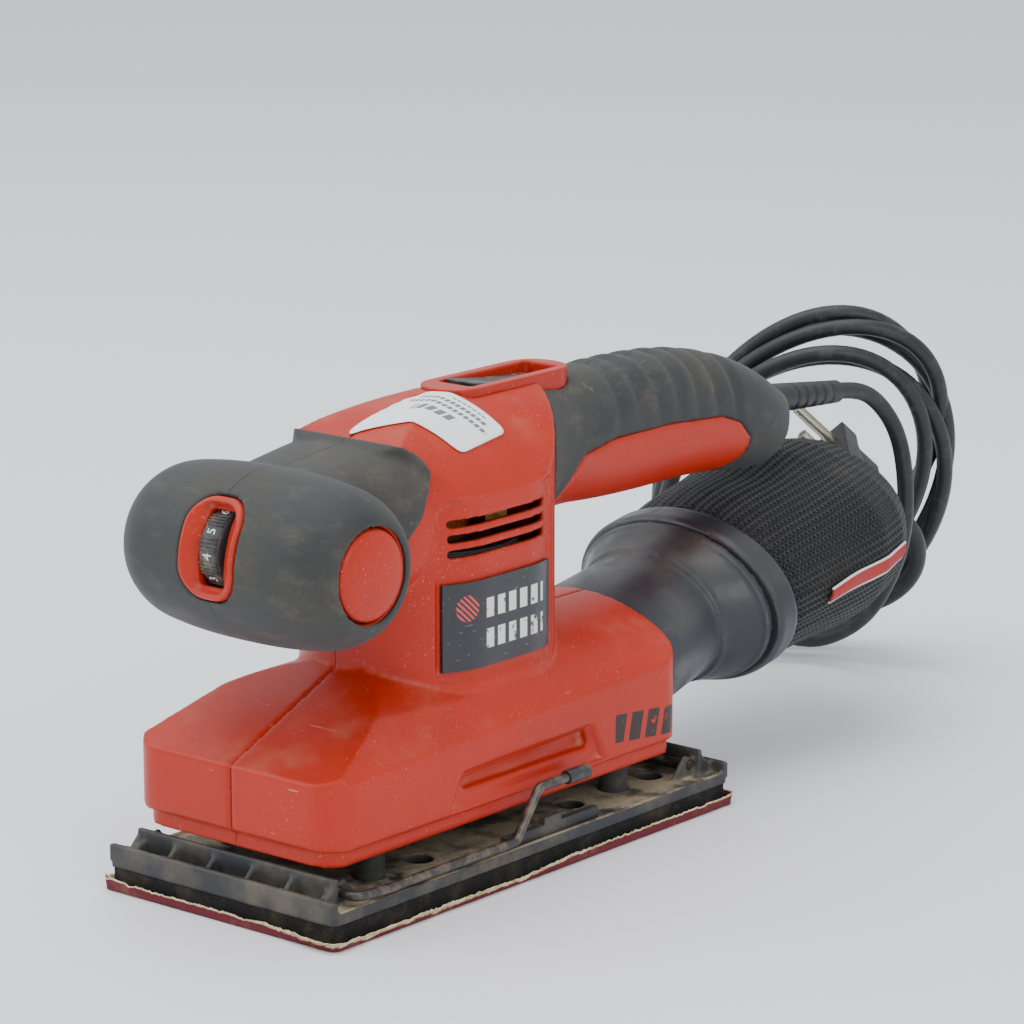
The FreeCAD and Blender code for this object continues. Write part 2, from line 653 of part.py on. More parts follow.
stack_top = STACK_BOTTOM + STACK_HEIGHT
stator = cyl_z(0, 0, STACK_BOTTOM, stack_top, STATOR_RADIUS)
stator = stator.cut(cyl_z(0, 0, STACK_BOTTOM, stack_top, ARMATURE_RADIUS + AIR_GAP))
coils = []
for side in (-1, 1):
    y0 = min(side * 17, side * 23)
    y1 = max(side * 17, side * 23)
    coils.append(box(-8, 8, y0, y1, STACK_BOTTOM - 6, stack_top + 6))
    stator = stator.cut(box(-9, 9, y0 - 1, y1 + 1, STACK_BOTTOM, stack_top))
# flats that leave room for the two screw bosses in the tower
for y in (-36.3, 36.3):
    stator = stator.cut(box(-BIG, BIG, y - 9, y + 9, 0, BIG))
export("motor_stator", one_solid(stator))
export("field_coils", Part.makeCompound(coils))

export("lower_bearing", ring_z(0, 0, LOWER_BEARING_Z, LOWER_BEARING_Z + BEARING_HEIGHT,
                               BEARING_OUTER, SHAFT_RADIUS + FIT))
export("upper_bearing", ring_z(0, 0, UPPER_BEARING_Z, UPPER_BEARING_Z + UPPER_BEARING_HEIGHT,
                               UPPER_BEARING_OUTER, UPPER_SHAFT_RADIUS + FIT))
shaft = cyl_z(0, 0, FAN_BOTTOM, UPPER_BEARING_Z - 1, SHAFT_RADIUS)
shaft = shaft.fuse(cyl_z(0, 0, UPPER_BEARING_Z - 1, UPPER_BEARING_Z + 6, UPPER_SHAFT_RADIUS))
export("motor_shaft", shaft)

armature = ring_z(0, 0, STACK_BOTTOM, stack_top, ARMATURE_RADIUS, SHAFT_RADIUS)
slots = []
for i in range(12):
    slot = box(9.5, ARMATURE_RADIUS + 1, -1.1, 1.1, STACK_BOTTOM, stack_top)
    slot.rotate(V(0, 0, 0), V(0, 0, 1), 30 * i)
    slots.append(slot)
    armature = armature.cut(slot)
export("armature_core", armature)
winding = [ring_z(0, 0, STACK_BOTTOM - 6, STACK_BOTTOM, 13.5, SHAFT_RADIUS),
           ring_z(0, 0, stack_top, stack_top + 6, 13.5, SHAFT_RADIUS)]
bars = [s.common(cyl_z(0, 0, STACK_BOTTOM, stack_top, 13.0)) for s in slots]
export("armature_winding", fused(winding + bars))
commutator = ring_z(0, 0, COMMUTATOR_Z, COMMUTATOR_Z + COMMUTATOR_HEIGHT,
                    COMMUTATOR_RADIUS, SHAFT_RADIUS)
for i in range(24):
    groove = box(COMMUTATOR_RADIUS - 1.2, COMMUTATOR_RADIUS + 1, -0.25, 0.25,
                 COMMUTATOR_Z, COMMUTATOR_Z + COMMUTATOR_HEIGHT)
    groove.rotate(V(0, 0, 0), V(0, 0, 1), 15 * i)
    commutator = commutator.cut(groove)
export("commutator", commutator)

brush_z = COMMUTATOR_Z + 6
for name, side in SIDES:
    x0 = side * (COMMUTATOR_RADIUS + 0.1)
    x1 = side * (COMMUTATOR_RADIUS + 11)
    export("carbon_brush_" + name, box(min(x0, x1), max(x0, x1), -3, 3, brush_z - 2.5, brush_z + 2.5))
    h0 = side * (COMMUTATOR_RADIUS + 2.5)
    h1 = side * (TOWER_RADIUS - WALL - 3)
    holder = box(min(h0, h1), max(h0, h1), -5, 5, brush_z - 4.5, brush_z + 4.5)
    bore = box(min(x0, h1 - side * 2), max(x0, h1 - side * 2), -3, 3, brush_z - 2.5, brush_z + 2.5)
    export("brush_holder_" + name, holder.cut(bore))

# ---------------- fan, eccentric and platen ----------------

hub_top = CHAMBER_TOP - 1.6
fan = cyl_z(0, 0, FAN_BOTTOM, FAN_BOTTOM + 1.8, FAN_RADIUS)
fan = fan.fuse(cyl_z(0, 0, FAN_BOTTOM, hub_top, 9.0))
for i in range(FAN_BLADES):
    blade = box(10, FAN_RADIUS - 0.5, -0.8, 0.8, FAN_BOTTOM + 1.0, hub_top - 1)
    blade.rotate(V(10, 0, 0), V(0, 0, 1), 24)
    blade.rotate(V(0, 0, 0), V(0, 0, 1), 360.0 / FAN_BLADES * i)
    fan = fan.fuse(blade)
fan = fan.common(cyl_z(0, 0, 0, BIG, FAN_RADIUS)).cut(cyl_z(0, 0, 0, BIG, SHAFT_RADIUS))
export("cooling_fan", fan)

platen_y = ORBIT_RADIUS
seat_bottom = PLATE_TOP + 1.0
seat_top = seat_bottom + BEARING_HEIGHT
weight_bottom = seat_top + 2.4
weight = cyl_z(0, 0, weight_bottom, FAN_BOTTOM, 24.0).cut(box(-30, 30, 6, 30, 0, BIG))
weight = weight.fuse(cyl_z(0, 0, weight_bottom, FAN_BOTTOM, 9.0))
weight = weight.fuse(cyl_z(0, platen_y, seat_bottom - 0.15, weight_bottom + 0.5, SHAFT_RADIUS))
weight = weight.cut(cyl_z(0, platen_y, 0, seat_bottom + 10, 2.0))
export("counterweight", weight)

plate = prism(-PLATE_WIDTH / 2, PLATE_WIDTH / 2, -PLATE_LENGTH / 2, PLATE_LENGTH / 2, 2.0,
              PLATE_BOTTOM, PLATE_TOP)
lip_y = PLATE_LENGTH / 2
wall_y = lip_y - END_WALL_SETBACK
pieces = [plate, cyl_z(0, platen_y, PLATE_TOP - 0.5, seat_top + 0.6, BEARING_OUTER + 3.0)]
wall_half = PLATE_WIDTH / 2 - 5.5
rib_span = 2 * wall_half - 1.8
for end in (-1, 1):
    lip = box(-PLATE_WIDTH / 2, PLATE_WIDTH / 2, lip_y - LIP_THICK, lip_y,
              PLATE_TOP - 1, PLATE_TOP + LIP_HEIGHT)
    wall = box(-wall_half, wall_half, wall_y - END_WALL_THICK, wall_y,
               PLATE_TOP - 1, PLATE_TOP + END_WALL_HEIGHT)
    ribs = []
    for i in range(DIVIDER_COUNT):
        x = rib_span * (i / (DIVIDER_COUNT - 1) - 0.5)
        ribs.append(polygon_x([
            (lip_y - LIP_THICK, PLATE_TOP - 0.5), (wall_y - 0.2, PLATE_TOP - 0.5),
            (wall_y - 0.2, PLATE_TOP + END_WALL_HEIGHT - 1.5),
            (lip_y - LIP_THICK, PLATE_TOP + LIP_HEIGHT - 1.5),
        ], x - 0.8, x + 0.8))
    for x in (-GUSSET_X, GUSSET_X):
        ribs.append(polygon_x([
            (lip_y - 1, PLATE_TOP - 0.5), (lip_y - 20, PLATE_TOP - 0.5),
            (lip_y - 13, PLATE_TOP + 7.4), (lip_y - 4, PLATE_TOP + LIP_HEIGHT),
        ], x - 0.8, x + 0.8))
    for shape in [lip, wall] + ribs:
        if end < 0:
            shape.rotate(V(0, 0, 0), V(0, 0, 1), 180)
        pieces.append(shape)
    edge = end * PLATE_WIDTH / 2
    pieces.append(box(min(edge, edge - end * 1.4), max(edge, edge - end * 1.4),
                      -lip_y + 2, lip_y - 2, PLATE_TOP - 1, PLATE_TOP + SIDE_RIM_HEIGHT))
plate_shape = fused(pieces)
plate_shape = plate_shape.cut(cyl_z(0, platen_y, seat_bottom, BIG, BEARING_OUTER))
plate_shape = plate_shape.cut(cyl_z(0, platen_y, 0, seat_bottom, SHAFT_RADIUS + 1.5))
for x, y in POSTS:
    plate_shape = plate_shape.cut(cyl_z(x, y, PLATE_TOP - 1.5, BIG, POST_RADIUS))
dust_holes = [cyl_z(x, y, -1, PLATE_TOP + 1, DUST_HOLE_RADIUS)
              for x in (-27.0, 27.0) for y in (-76.0, -36.0, 36.0, 76.0)]
for hole in dust_holes:
    plate_shape = plate_shape.cut(hole)
# the cross bar of each paper clamp turns in holes through the gussets
clamp_y = wall_y - END_WALL_THICK - CLAMP_WIRE_RADIUS - 0.4
clamp_z = PLATE_TOP + CLAMP_WIRE_RADIUS + 2.2
for end in (-1, 1):
    plate_shape = plate_shape.cut(
        cyl_x(-BIG, BIG, end * clamp_y, clamp_z, CLAMP_WIRE_RADIUS + FIT)
    )
export("platen_plate", plate_shape)

foam = prism(-PLATE_WIDTH / 2 + 0.5, PLATE_WIDTH / 2 - 0.5, -PLATE_LENGTH / 2 + 0.5,
             PLATE_LENGTH / 2 - 0.5, 2.0, PAPER_THICK, PLATE_BOTTOM)
paper = prism(-PLATE_WIDTH / 2 - PAPER_OVERHANG, PLATE_WIDTH / 2 + PAPER_OVERHANG,
              -PLATE_LENGTH / 2 - PAPER_OVERHANG, PLATE_LENGTH / 2 + PAPER_OVERHANG, 2.5,
              0.0, PAPER_THICK)
for hole in dust_holes:
    foam = foam.cut(hole)
    paper = paper.cut(hole)
foam = foam.cut(cyl_z(0, platen_y, PAPER_THICK + 2, PLATE_BOTTOM + 1, 8.0))
export("foam_pad", foam)
export("sanding_paper", paper)
export("platen_bearing", ring_z(0, platen_y, seat_bottom, seat_top, BEARING_OUTER,
                                SHAFT_RADIUS + FIT))
posts = [cyl_z(x, y, PLATE_TOP - 1.5, POST_TOP, POST_RADIUS) for x, y in POSTS]
export("flexible_posts", Part.makeCompound(posts))
washer_top = seat_bottom - 0.15
screw_head = cyl_z(0, platen_y, washer_top - 3.2, washer_top - 0.8, 3.4)
screw = screw_head.fuse(cyl_z(0, platen_y, washer_top - 0.8, seat_bottom + 9, 2.0))
export("eccentric_screw", screw)
export("retaining_washer", ring_z(0, platen_y, washer_top - 0.8, washer_top, 4.9, 2.0))

for name, side in SIDES:
    inner = side * (CLAMP_ARM_X - CLAMP_WIRE_RADIUS - 0.4)
    catch = box(min(inner, inner - side * 2.4), max(inner, inner - side * 2.4),
                min(side * 30, side * -14), max(side * 30, side * -14), PLATE_TOP, PLATE_TOP + 4.0)
    nose = box(min(inner, inner - side * 2.4), max(inner, inner - side * 2.4),
               min(side * 4, side * 12), max(side * 4, side * 12), PLATE_TOP, PLATE_TOP + 6.2)
    export("clamp_catch_" + name, catch.fuse(nose))


def clamp_wire():
    """One paper clamp: a cross bar, a side arm and a lever with a grip."""
    y = -clamp_y
    arm_z = PLATE_TOP + CLAMP_WIRE_RADIUS + 1.5
    points = [
        (-38.0, y, clamp_z), (CLAMP_ARM_X, y, clamp_z), (CLAMP_ARM_X, y + 14, arm_z),
        (CLAMP_ARM_X, -12.0, arm_z), (CLAMP_ARM_X, -1.0, 27.6), (CLAMP_ARM_X, 21.0, 27.6),
    ]
    wire, radii, length, ratio = tube(points, CLAMP_WIRE_RADIUS, 3.2)
    grip = cyl_x(0, 10, 0, 0, 2.3).cut(cyl_x(-1, 9, 0, 0, CLAMP_WIRE_RADIUS))
    grip.rotate(V(0, 0, 0), V(0, 0, 1), 90)
    grip.translate(V(CLAMP_ARM_X, 12.0, 27.6))
    return wire, grip, ratio


wire, grip, ratio = clamp_wire()
print("clamp wire volume ratio", round(ratio, 3))
export("front_clamp_wire", wire)
export("front_clamp_grip", grip)
for shape, name in ((wire, "rear_clamp_wire"), (grip, "rear_clamp_grip")):
    turned = shape.copy()
    turned.rotate(V(0, 0, 0), V(0, 0, 1), 180)
    export(name, turned)

screws = []
for y, z in SCREWS:
    head = cyl_x(SCREW_HEAD_X - 3, SCREW_HEAD_X, y, z, SCREW_HEAD_RADIUS)
    screws.append(head.fuse(cyl_x(SCREW_HEAD_X, 14, y, z, SCREW_RADIUS)))
export("housing_screws", Part.makeCompound(screws))

# ---------------- dust collector ----------------

spigot = Part.Face(
    oval_section(SPIGOT_WIDTH, SPIGOT_HEIGHT, SPIGOT_START, DUCT_START_Z, 0)
).extrude(V(0, BASE_REAR - SPIGOT_START, 0))
start_section = oval_section(SPIGOT_WIDTH, SPIGOT_HEIGHT, BASE_REAR, DUCT_START_Z, 0)
duct = Part.makeLoft(
    [start_section, duct_section(14, 32.5, 21.2), duct_section(35, 28.5, 22.3)], True
)
flare = duct_loft([(35, 30.0, 23.8), (37, 30.2, 24.0), (47, 37.5, 26.6)], True)
ring_two = duct_loft([(47, 38.6, 27.2), (50, 39.0, 27.5)], True)
inner_spigot = duct_loft([(50, 36.4, 25.4), (60, 36.4, 25.4)], True)
bore = Part.makeLoft(
    [oval_section(SPIGOT_WIDTH - DUCT_WALL, SPIGOT_HEIGHT - DUCT_WALL,
                  SPIGOT_START - 1, DUCT_START_Z, 0),
     oval_section(SPIGOT_WIDTH - DUCT_WALL, SPIGOT_HEIGHT - DUCT_WALL,
                  BASE_REAR, DUCT_START_Z, 0)], True, True)
bore_two = Part.makeLoft(
    [oval_section(SPIGOT_WIDTH - DUCT_WALL, SPIGOT_HEIGHT - DUCT_WALL,
                  BASE_REAR, DUCT_START_Z, 0),
     duct_section(14, 32.5 - DUCT_WALL, 21.2 - DUCT_WALL),
     duct_section(35, 28.5 - DUCT_WALL, 22.3 - DUCT_WALL)], True)
bore_three = duct_loft([(35, 26.3, 20.1), (61, 33.6, 22.6)], True)
adapter = fused([spigot, duct, flare, ring_two, inner_spigot])
for cut in (bore, bore_two, bore_three):
    adapter = adapter.cut(cut)
export("dust_adapter", one_solid(adapter))
bag_ring = duct_loft([(50, 41.0, 28.2), (52, 42.0, 29.0), (59, 42.0, 29.0), (60.5, 41.0, 28.2)],
                     True)
bag_ring = bag_ring.cut(duct_loft([(49, 36.4, 25.4), (61, 36.4, 25.4)], True))
export("bag_ring", bag_ring)

bag_sections = [(0, 38.5, 26.8), (12, 39.5, 28.4), (30, 41.5, 29.8), (52, 42.5, 31.5),
                (70, 39.0, 29.5), (80, 31.0, 23.0), (86, 18.0, 13.0)]


def bag_body(grow):
    stretch = BAG_LENGTH / 86.0
    return duct_loft([(60.5 + s * stretch, w + grow, h + grow) for s, w, h in bag_sections])


bag = bag_body(0.0)
export("dust_bag", bag)
tag_zone = box(24, 60, 152, 199, 48, 72)
tag_zone = tag_zone.common(polygon_x([(150, 49.3), (150, 57.3), (200, 68.3), (200, 60.3)], 20, 60))
export("bag_tag", one_solid(bag_body(1.0).cut(bag).common(tag_zone)))

# ---------------- strain relief, lead, hank and plug ----------------

relief = Part.makeCone(RELIEF_RADIUS, 3.9, RELIEF_LENGTH)
for i in range(5):
    relief = relief.cut(ring_z(0, 0, 11 + 5.4 * i, 12.6 + 5.4 * i, 8.0, 4.4 - 0.18 * i))
relief.rotate(V(0, 0, 0), V(1, 0, 0), -90 - RELIEF_DROOP)
relief.translate(V(0, RELIEF_Y, RELIEF_Z))
inner_relief = Part.makeCylinder(RELIEF_RADIUS, 16, V(0, RELIEF_Y - 14, RELIEF_Z), V(0, 1, 0))
export("strain_relief", relief.fuse(inner_relief))
droop = math.radians(RELIEF_DROOP)
relief_end = (
    0.0, RELIEF_Y + RELIEF_LENGTH * math.cos(droop), RELIEF_Z - RELIEF_LENGTH * math.sin(droop),
)
export("cord_clamp", cord_clamp)

lead, radii, lead_length, ratio = tube([relief_end] + LEAD_ROUTE, LEAD_RADIUS)
print("lead", round(lead_length, 1), "ratio", round(ratio, 4), [round(r) for r in radii])
export("mains_lead", lead)
tail, radii, tail_length, ratio = tube(TAIL_ROUTE, LEAD_RADIUS)
print("tail", round(tail_length, 1), "ratio", round(ratio, 4), [round(r) for r in radii])
export("plug_lead", tail)


def in_hank(shape):
    """Places a shape drawn in the XY plane into the leaning plane of the hank."""
    level = V(*HANK_ACROSS)
    level.normalize()
    out = level.cross(V(*HANK_UP))
    out.normalize()
    upright = out.cross(level)
    a = math.radians(HANK_LEAN)
    across = level * math.cos(a) - upright * math.sin(a)
    up = level * math.sin(a) + upright * math.cos(a)
    matrix = FreeCAD.Matrix(
        across.x, up.x, out.x, HANK_CENTRE[0],
        across.y, up.y, out.y, HANK_CENTRE[1],
        across.z, up.z, out.z, HANK_CENTRE[2],
        0, 0, 0, 1,
    )
    return shape.transformGeometry(matrix)


def oval_disc(x, y, first, second, z0, z1):
    """An elliptic disc; first is its half size along X, second along Y."""
    if first >= second:
        outline = Part.Ellipse(V(0, 0, z0), first, second).toShape()
    else:
        outline = Part.Ellipse(V(0, 0, z0), second, first).toShape()
        outline.rotate(V(0, 0, 0), V(0, 0, 1), 90)
    outline.translate(V(x, y, 0))
    return Part.Face(Part.Wire([outline])).extrude(V(0, 0, z1 - z0))


half_thick = HANK_THICK / 2
hank = oval_disc(0, 0, HANK_HALF_WIDTH + LEAD_RADIUS, HANK_HALF_HEIGHT + LEAD_RADIUS,
                 -half_thick, half_thick)
hank = hank.cut(oval_disc(HANK_HOLE_OFFSET, HANK_HOLE_OFFSET, HANK_HOLE_HALF_WIDTH,
                          HANK_HOLE_HALF_HEIGHT, -half_thick - 1, half_thick + 1))
hank = in_hank(hank).common(box(-BIG, BIG, 0, BIG, 0.1, BIG))
hank = one_solid(hank.cut(lead).cut(tail))
export("lead_hank", hank)


def along_pins(shape):
    """Turns a shape drawn pointing along +Z, pins apart along X, into the plug's place."""
    pins_run = V(PIN_X, PIN_Y, PIN_Z)
    across = V(-0.43, 0.9, 0.0).cross(pins_run)
    across.normalize()
    depth = pins_run.cross(across)
    matrix = FreeCAD.Matrix(
        depth.x, across.x, pins_run.x, PLUG_ENTRY[0],
        depth.y, across.y, pins_run.y, PLUG_ENTRY[1],
        depth.z, across.z, pins_run.z, PLUG_ENTRY[2],
        0, 0, 0, 1,
    )
    return shape.transformGeometry(matrix)


plug_body = Part.makeCone(4.0, 5.4, 12, V(0, 0, 0)).fuse(box(-8, 8, -5.5, 5.5, 11, 30))
plug_body = plug_body.fuse(box(-16, 16, -6.0, 6.0, 22, 30))
pins = [Part.makeCylinder(2.0, 18.0, V(s * 9.3, 0, 30)) for s in (-1, 1)]
export("plug_body", along_pins(plug_body))
export("plug_pins", Part.makeCompound([along_pins(pin) for pin in pins]))
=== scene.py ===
import math

import bmesh
import bpy
from bpy.props import FloatProperty, FloatVectorProperty, IntProperty, PointerProperty
from mathutils import Matrix, Vector, noise
from mathutils.bvhtree import BVHTree


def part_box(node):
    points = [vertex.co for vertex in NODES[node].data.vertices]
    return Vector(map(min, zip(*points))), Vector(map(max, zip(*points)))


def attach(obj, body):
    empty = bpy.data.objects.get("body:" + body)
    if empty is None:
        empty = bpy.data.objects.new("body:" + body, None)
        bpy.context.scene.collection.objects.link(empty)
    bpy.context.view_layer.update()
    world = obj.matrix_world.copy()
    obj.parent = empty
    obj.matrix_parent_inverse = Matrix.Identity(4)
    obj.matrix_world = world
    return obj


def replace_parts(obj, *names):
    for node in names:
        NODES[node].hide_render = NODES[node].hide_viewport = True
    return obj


bl_info = {
    "name": "Orbital Sander",
    "version": (1, 0, 0),
    "blender": (4, 5, 0),
    "location": "3D View > Sidebar > Sander",
    "description": "Builds a corded third-sheet orbital sander around its packed frame",
    "category": "Add Mesh",
}

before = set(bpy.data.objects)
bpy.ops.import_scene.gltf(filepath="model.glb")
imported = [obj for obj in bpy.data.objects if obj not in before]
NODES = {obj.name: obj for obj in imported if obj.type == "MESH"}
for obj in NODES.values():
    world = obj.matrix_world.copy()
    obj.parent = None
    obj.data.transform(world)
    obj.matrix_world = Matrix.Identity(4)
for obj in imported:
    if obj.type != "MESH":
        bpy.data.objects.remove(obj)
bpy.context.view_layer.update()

MM = 0.001


def linear(code):
    """A display colour such as cc4a30 as the linear numbers that a shader takes."""
    parts = [int(code[i:i + 2], 16) / 255 for i in (0, 2, 4)]
    return [c / 12.92 if c <= 0.04045 else ((c + 0.055) / 1.055) ** 2.4 for c in parts]


# ---------------- settings ----------------

def colour_setting(name, description, code):
    return FloatVectorProperty(
        name=name, description=description, default=linear(code),
        subtype="COLOR", size=3, min=0.0, max=1.0,
    )


class SanderColours(bpy.types.PropertyGroup):
    housing: colour_setting("Housing", "Red-orange plastic of the two shells", "b0260f")
    rubber: colour_setting("Rubber", "Dark grey rubber of both grips", "313333")
    dust: colour_setting("Dust", "Wood dust that has settled on the tool", "b8a888")
    platen: colour_setting("Platen", "Dark plastic of the sanding plate", "2b2d2f")
    paper: colour_setting("Abrasive", "Grit side of the sanding paper", "6a2a31")
    torn: colour_setting("Torn paper", "Backing seen along the torn edge", "d9cca6")
    adapter: colour_setting("Adapter", "Plastic of the dust adapter", "2d3034")
    bag: colour_setting("Bag", "Knitted cloth of the dust bag", "17181b")
    tag: colour_setting("Tag", "Woven tag on the bag", "b32a26")
    lead: colour_setting("Lead", "Rubber sheath of the mains lead", "232426")
    floor: colour_setting("Floor", "Studio floor", "eef0f5")


class SanderSizes(bpy.types.PropertyGroup):
    shell_grain: FloatProperty(
        name="Shell grain", description="Mesh spacing of the softened shells",
        default=0.9 * MM, min=0.5 * MM, max=3 * MM, unit="LENGTH",
    )
    shell_soften: IntProperty(
        name="Shell softening", description="Smoothing steps that round the shells' edges",
        default=3, min=0, max=20,
    )
    rubber_soften: IntProperty(
        name="Rubber softening", description="Smoothing steps that round the rubber's edges",
        default=6, min=0, max=40,
    )
    cord_diameter: FloatProperty(
        name="Lead diameter", description="Outside diameter of the mains lead",
        default=5.8 * MM, min=3 * MM, max=9 * MM, unit="LENGTH",
    )
    tear_height: FloatProperty(
        name="Tear height", description="How far the paper turns up around the pad",
        default=5.0 * MM, min=0.0, max=8 * MM, unit="LENGTH",
    )


def colours():
    return bpy.context.scene.sander_colours


def sizes():
    return bpy.context.scene.sander_sizes


# ---------------- finishes ----------------

def opaque(colour):
    """A plain colour with its alpha of 1; a socket is passed on as it is."""
    return tuple(colour) + (1.0,) if isinstance(colour, (list, tuple)) else colour


class Finish:
    """A procedural material that reads the piece's own Object coordinates."""

    def __init__(self, name, roughness=0.5, metallic=0.0, specular=0.5, coat=0.0, sheen=0.0):
        self.material = bpy.data.materials.new(name)
        self.material.use_nodes = True
        self.tree = self.material.node_tree
        self.shader = self.tree.nodes["Principled BSDF"]
        self.shader.inputs["Roughness"].default_value = roughness
        self.shader.inputs["Metallic"].default_value = metallic
        self.shader.inputs["Specular IOR Level"].default_value = specular
        self.shader.inputs["Coat Weight"].default_value = coat
        self.shader.inputs["Sheen Weight"].default_value = sheen
        self.place = self.node("ShaderNodeTexCoord").outputs["Object"]
        self.surface = self.node("ShaderNodeNewGeometry")
        self.normal = None

    def node(self, kind, **settings):
        made = self.tree.nodes.new(kind)
        for key, value in settings.items():
            setattr(made, key, value)
        return made

    def feed(self, socket, value):
        if isinstance(value, bpy.types.NodeSocket):
            self.tree.links.new(value, socket)
        elif value is not None:
            socket.default_value = value

    def stretched(self, scale, turn=(0, 0, 0), shift=(0, 0, 0)):
        made = self.node("ShaderNodeMapping")
        self.feed(made.inputs["Vector"], self.place)
        made.inputs["Location"].default_value = shift
        made.inputs["Rotation"].default_value = turn
        made.inputs["Scale"].default_value = scale
        return made.outputs["Vector"]

    def noise(self, scale, detail=3.0, rough=0.6, vector=None):
        made = self.node("ShaderNodeTexNoise")
        self.feed(made.inputs["Vector"], vector or self.place)
        made.inputs["Scale"].default_value = scale
        made.inputs["Detail"].default_value = detail
        made.inputs["Roughness"].default_value = rough
        return made.outputs["Fac"]

    def cells(self, scale, vector=None, feature="F1", output="Distance"):
        made = self.node("ShaderNodeTexVoronoi", feature=feature)
        self.feed(made.inputs["Vector"], vector or self.place)
        made.inputs["Scale"].default_value = scale
        return made.outputs[output]

    def step(self, value, low, high, first=0.0, last=1.0):
        made = self.node("ShaderNodeMapRange", interpolation_type="SMOOTHSTEP")
        self.feed(made.inputs["Value"], value)
        made.inputs["From Min"].default_value = low
        made.inputs["From Max"].default_value = high
        made.inputs["To Min"].default_value = first
        made.inputs["To Max"].default_value = last
        return made.outputs["Result"]

    def maths(self, operation, *values):
        made = self.node("ShaderNodeMath", operation=operation)
        for i, value in enumerate(values):
            self.feed(made.inputs[i], value)
        return made.outputs[0]

    def product(self, *values):
        result = values[0]
        for value in values[1:]:
            result = self.maths("MULTIPLY", result, value)
        return result

    def largest(self, *values):
        result = values[0]
        for value in values[1:]:
            result = self.maths("MAXIMUM", result, value)
        return result

    def axis(self, letter, vector=None):
        made = self.node("ShaderNodeSeparateXYZ")
        self.feed(made.inputs[0], vector or self.place)
        return made.outputs[letter]

    def facing_up(self):
        return self.axis("Z", self.surface.outputs["Normal"])

    def hollow(self, low=0.49, high=0.44):
        """1 in grooves and inner corners."""
        return self.step(self.surface.outputs["Pointiness"], low, high)

    def ridge(self, low=0.52, high=0.58):
        """1 on outer edges."""
        return self.step(self.surface.outputs["Pointiness"], low, high)

    def blend(self, factor, first, second):
        made = self.node("ShaderNodeMix", data_type="RGBA")
        self.feed(made.inputs[0], factor)
        self.feed(made.inputs[6], opaque(first))
        self.feed(made.inputs[7], opaque(second))
        return made.outputs[2]

    def bump(self, height, distance, strength=1.0):
        made = self.node("ShaderNodeBump")
        made.inputs["Strength"].default_value = strength
        made.inputs["Distance"].default_value = distance
        self.feed(made.inputs["Height"], height)
        self.feed(made.inputs["Normal"], self.normal)
        self.normal = made.outputs["Normal"]

    def done(self, colour, roughness=None):
        self.feed(self.shader.inputs["Base Color"], opaque(colour))
        self.feed(self.shader.inputs["Roughness"], roughness)
        self.feed(self.shader.inputs["Normal"], self.normal)
        return self.material


def shade(colour, factor):
    return [min(1.0, c * factor) for c in colour]


def between(a, b, t):
    return [x + (y - x) * t for x, y in zip(a, b)]


FINISHES = {}


def finish(name, maker):
    """Each finish is made once and shared by the pieces that have it."""
    if name not in FINISHES:
        FINISHES[name] = maker(name)
    return FINISHES[name]


def housing_red(name):
    f = Finish(name, roughness=0.45, specular=0.32)
    red = list(colours().housing)
    dust = list(colours().dust)
    broad = f.noise(18.0, 2.0)
    tint = f.blend(f.step(broad, 0.3, 0.7), shade(red, 0.93), shade(red, 1.08))
    # settled dust: on faces that look up, and more of it in corners
    speck = f.step(f.noise(900.0, 2.0), 0.60, 0.74)
    patch = f.step(f.noise(38.0, 4.0, 0.65), 0.46, 0.74)
    up = f.step(f.facing_up(), 0.25, 0.95)
    film = f.product(f.product(up, patch), 0.20)
    specks = f.product(f.product(speck, f.step(f.noise(60.0, 2.0), 0.40, 0.62)), 0.34)
    corners = f.product(f.product(f.hollow(), f.noise(120.0, 3.0)), 0.9)
    dusty = f.largest(film, specks, corners)
    colour = f.blend(dusty, tint, between(red, dust, 0.72))
    # fine pale scratches along the flanks
    lines = f.stretched((90.0, 1500.0, 1200.0), turn=(0.35, 0.2, 0.5))
    scratch = f.product(f.step(f.noise(1.0, 1.0, 0.4, lines), 0.735, 0.76),
                        f.step(f.noise(26.0, 2.0), 0.52, 0.62))
    colour = f.blend(f.product(scratch, 0.55), colour, between(red, [0.9, 0.75, 0.68], 0.5))
    # painted highlight: outer edges are lightened towards a pale red, as where light catches them
    colour = f.blend(f.product(f.ridge(0.54, 0.64), 0.35), colour,
                     between(red, [0.95, 0.62, 0.5], 0.45))
    # plain slanted bars where the rating is printed
    y = f.axis("Y")
    level = f.maths("ADD", f.axis("Z"), f.product(y, 0.10))
    phase = f.product(f.maths("SUBTRACT", y, f.product(level, 0.22)),
                    2 * math.pi / 0.0082)
    bars = f.product(f.step(f.maths("SINE", phase), -0.62, -0.5),
                     f.step(y, 0.0412, 0.0416), f.step(y, 0.0728, 0.0724),
                     f.step(level, 0.0350, 0.0353), f.step(level, 0.0444, 0.0441),
                     f.step(f.axis("X"), 0.0380, 0.0385))
    colour = f.blend(f.product(bars, f.step(f.noise(300.0, 3.0), 0.30, 0.36)), colour,
                     linear("33221f"))
    f.bump(f.noise(1900.0, 2.0), 0.00006, 0.5)
    rough = f.step(f.maths("ADD", dusty, f.product(broad, 0.25)), 0.0, 0.6, 0.36, 0.62)
    return f.done(colour, rough)


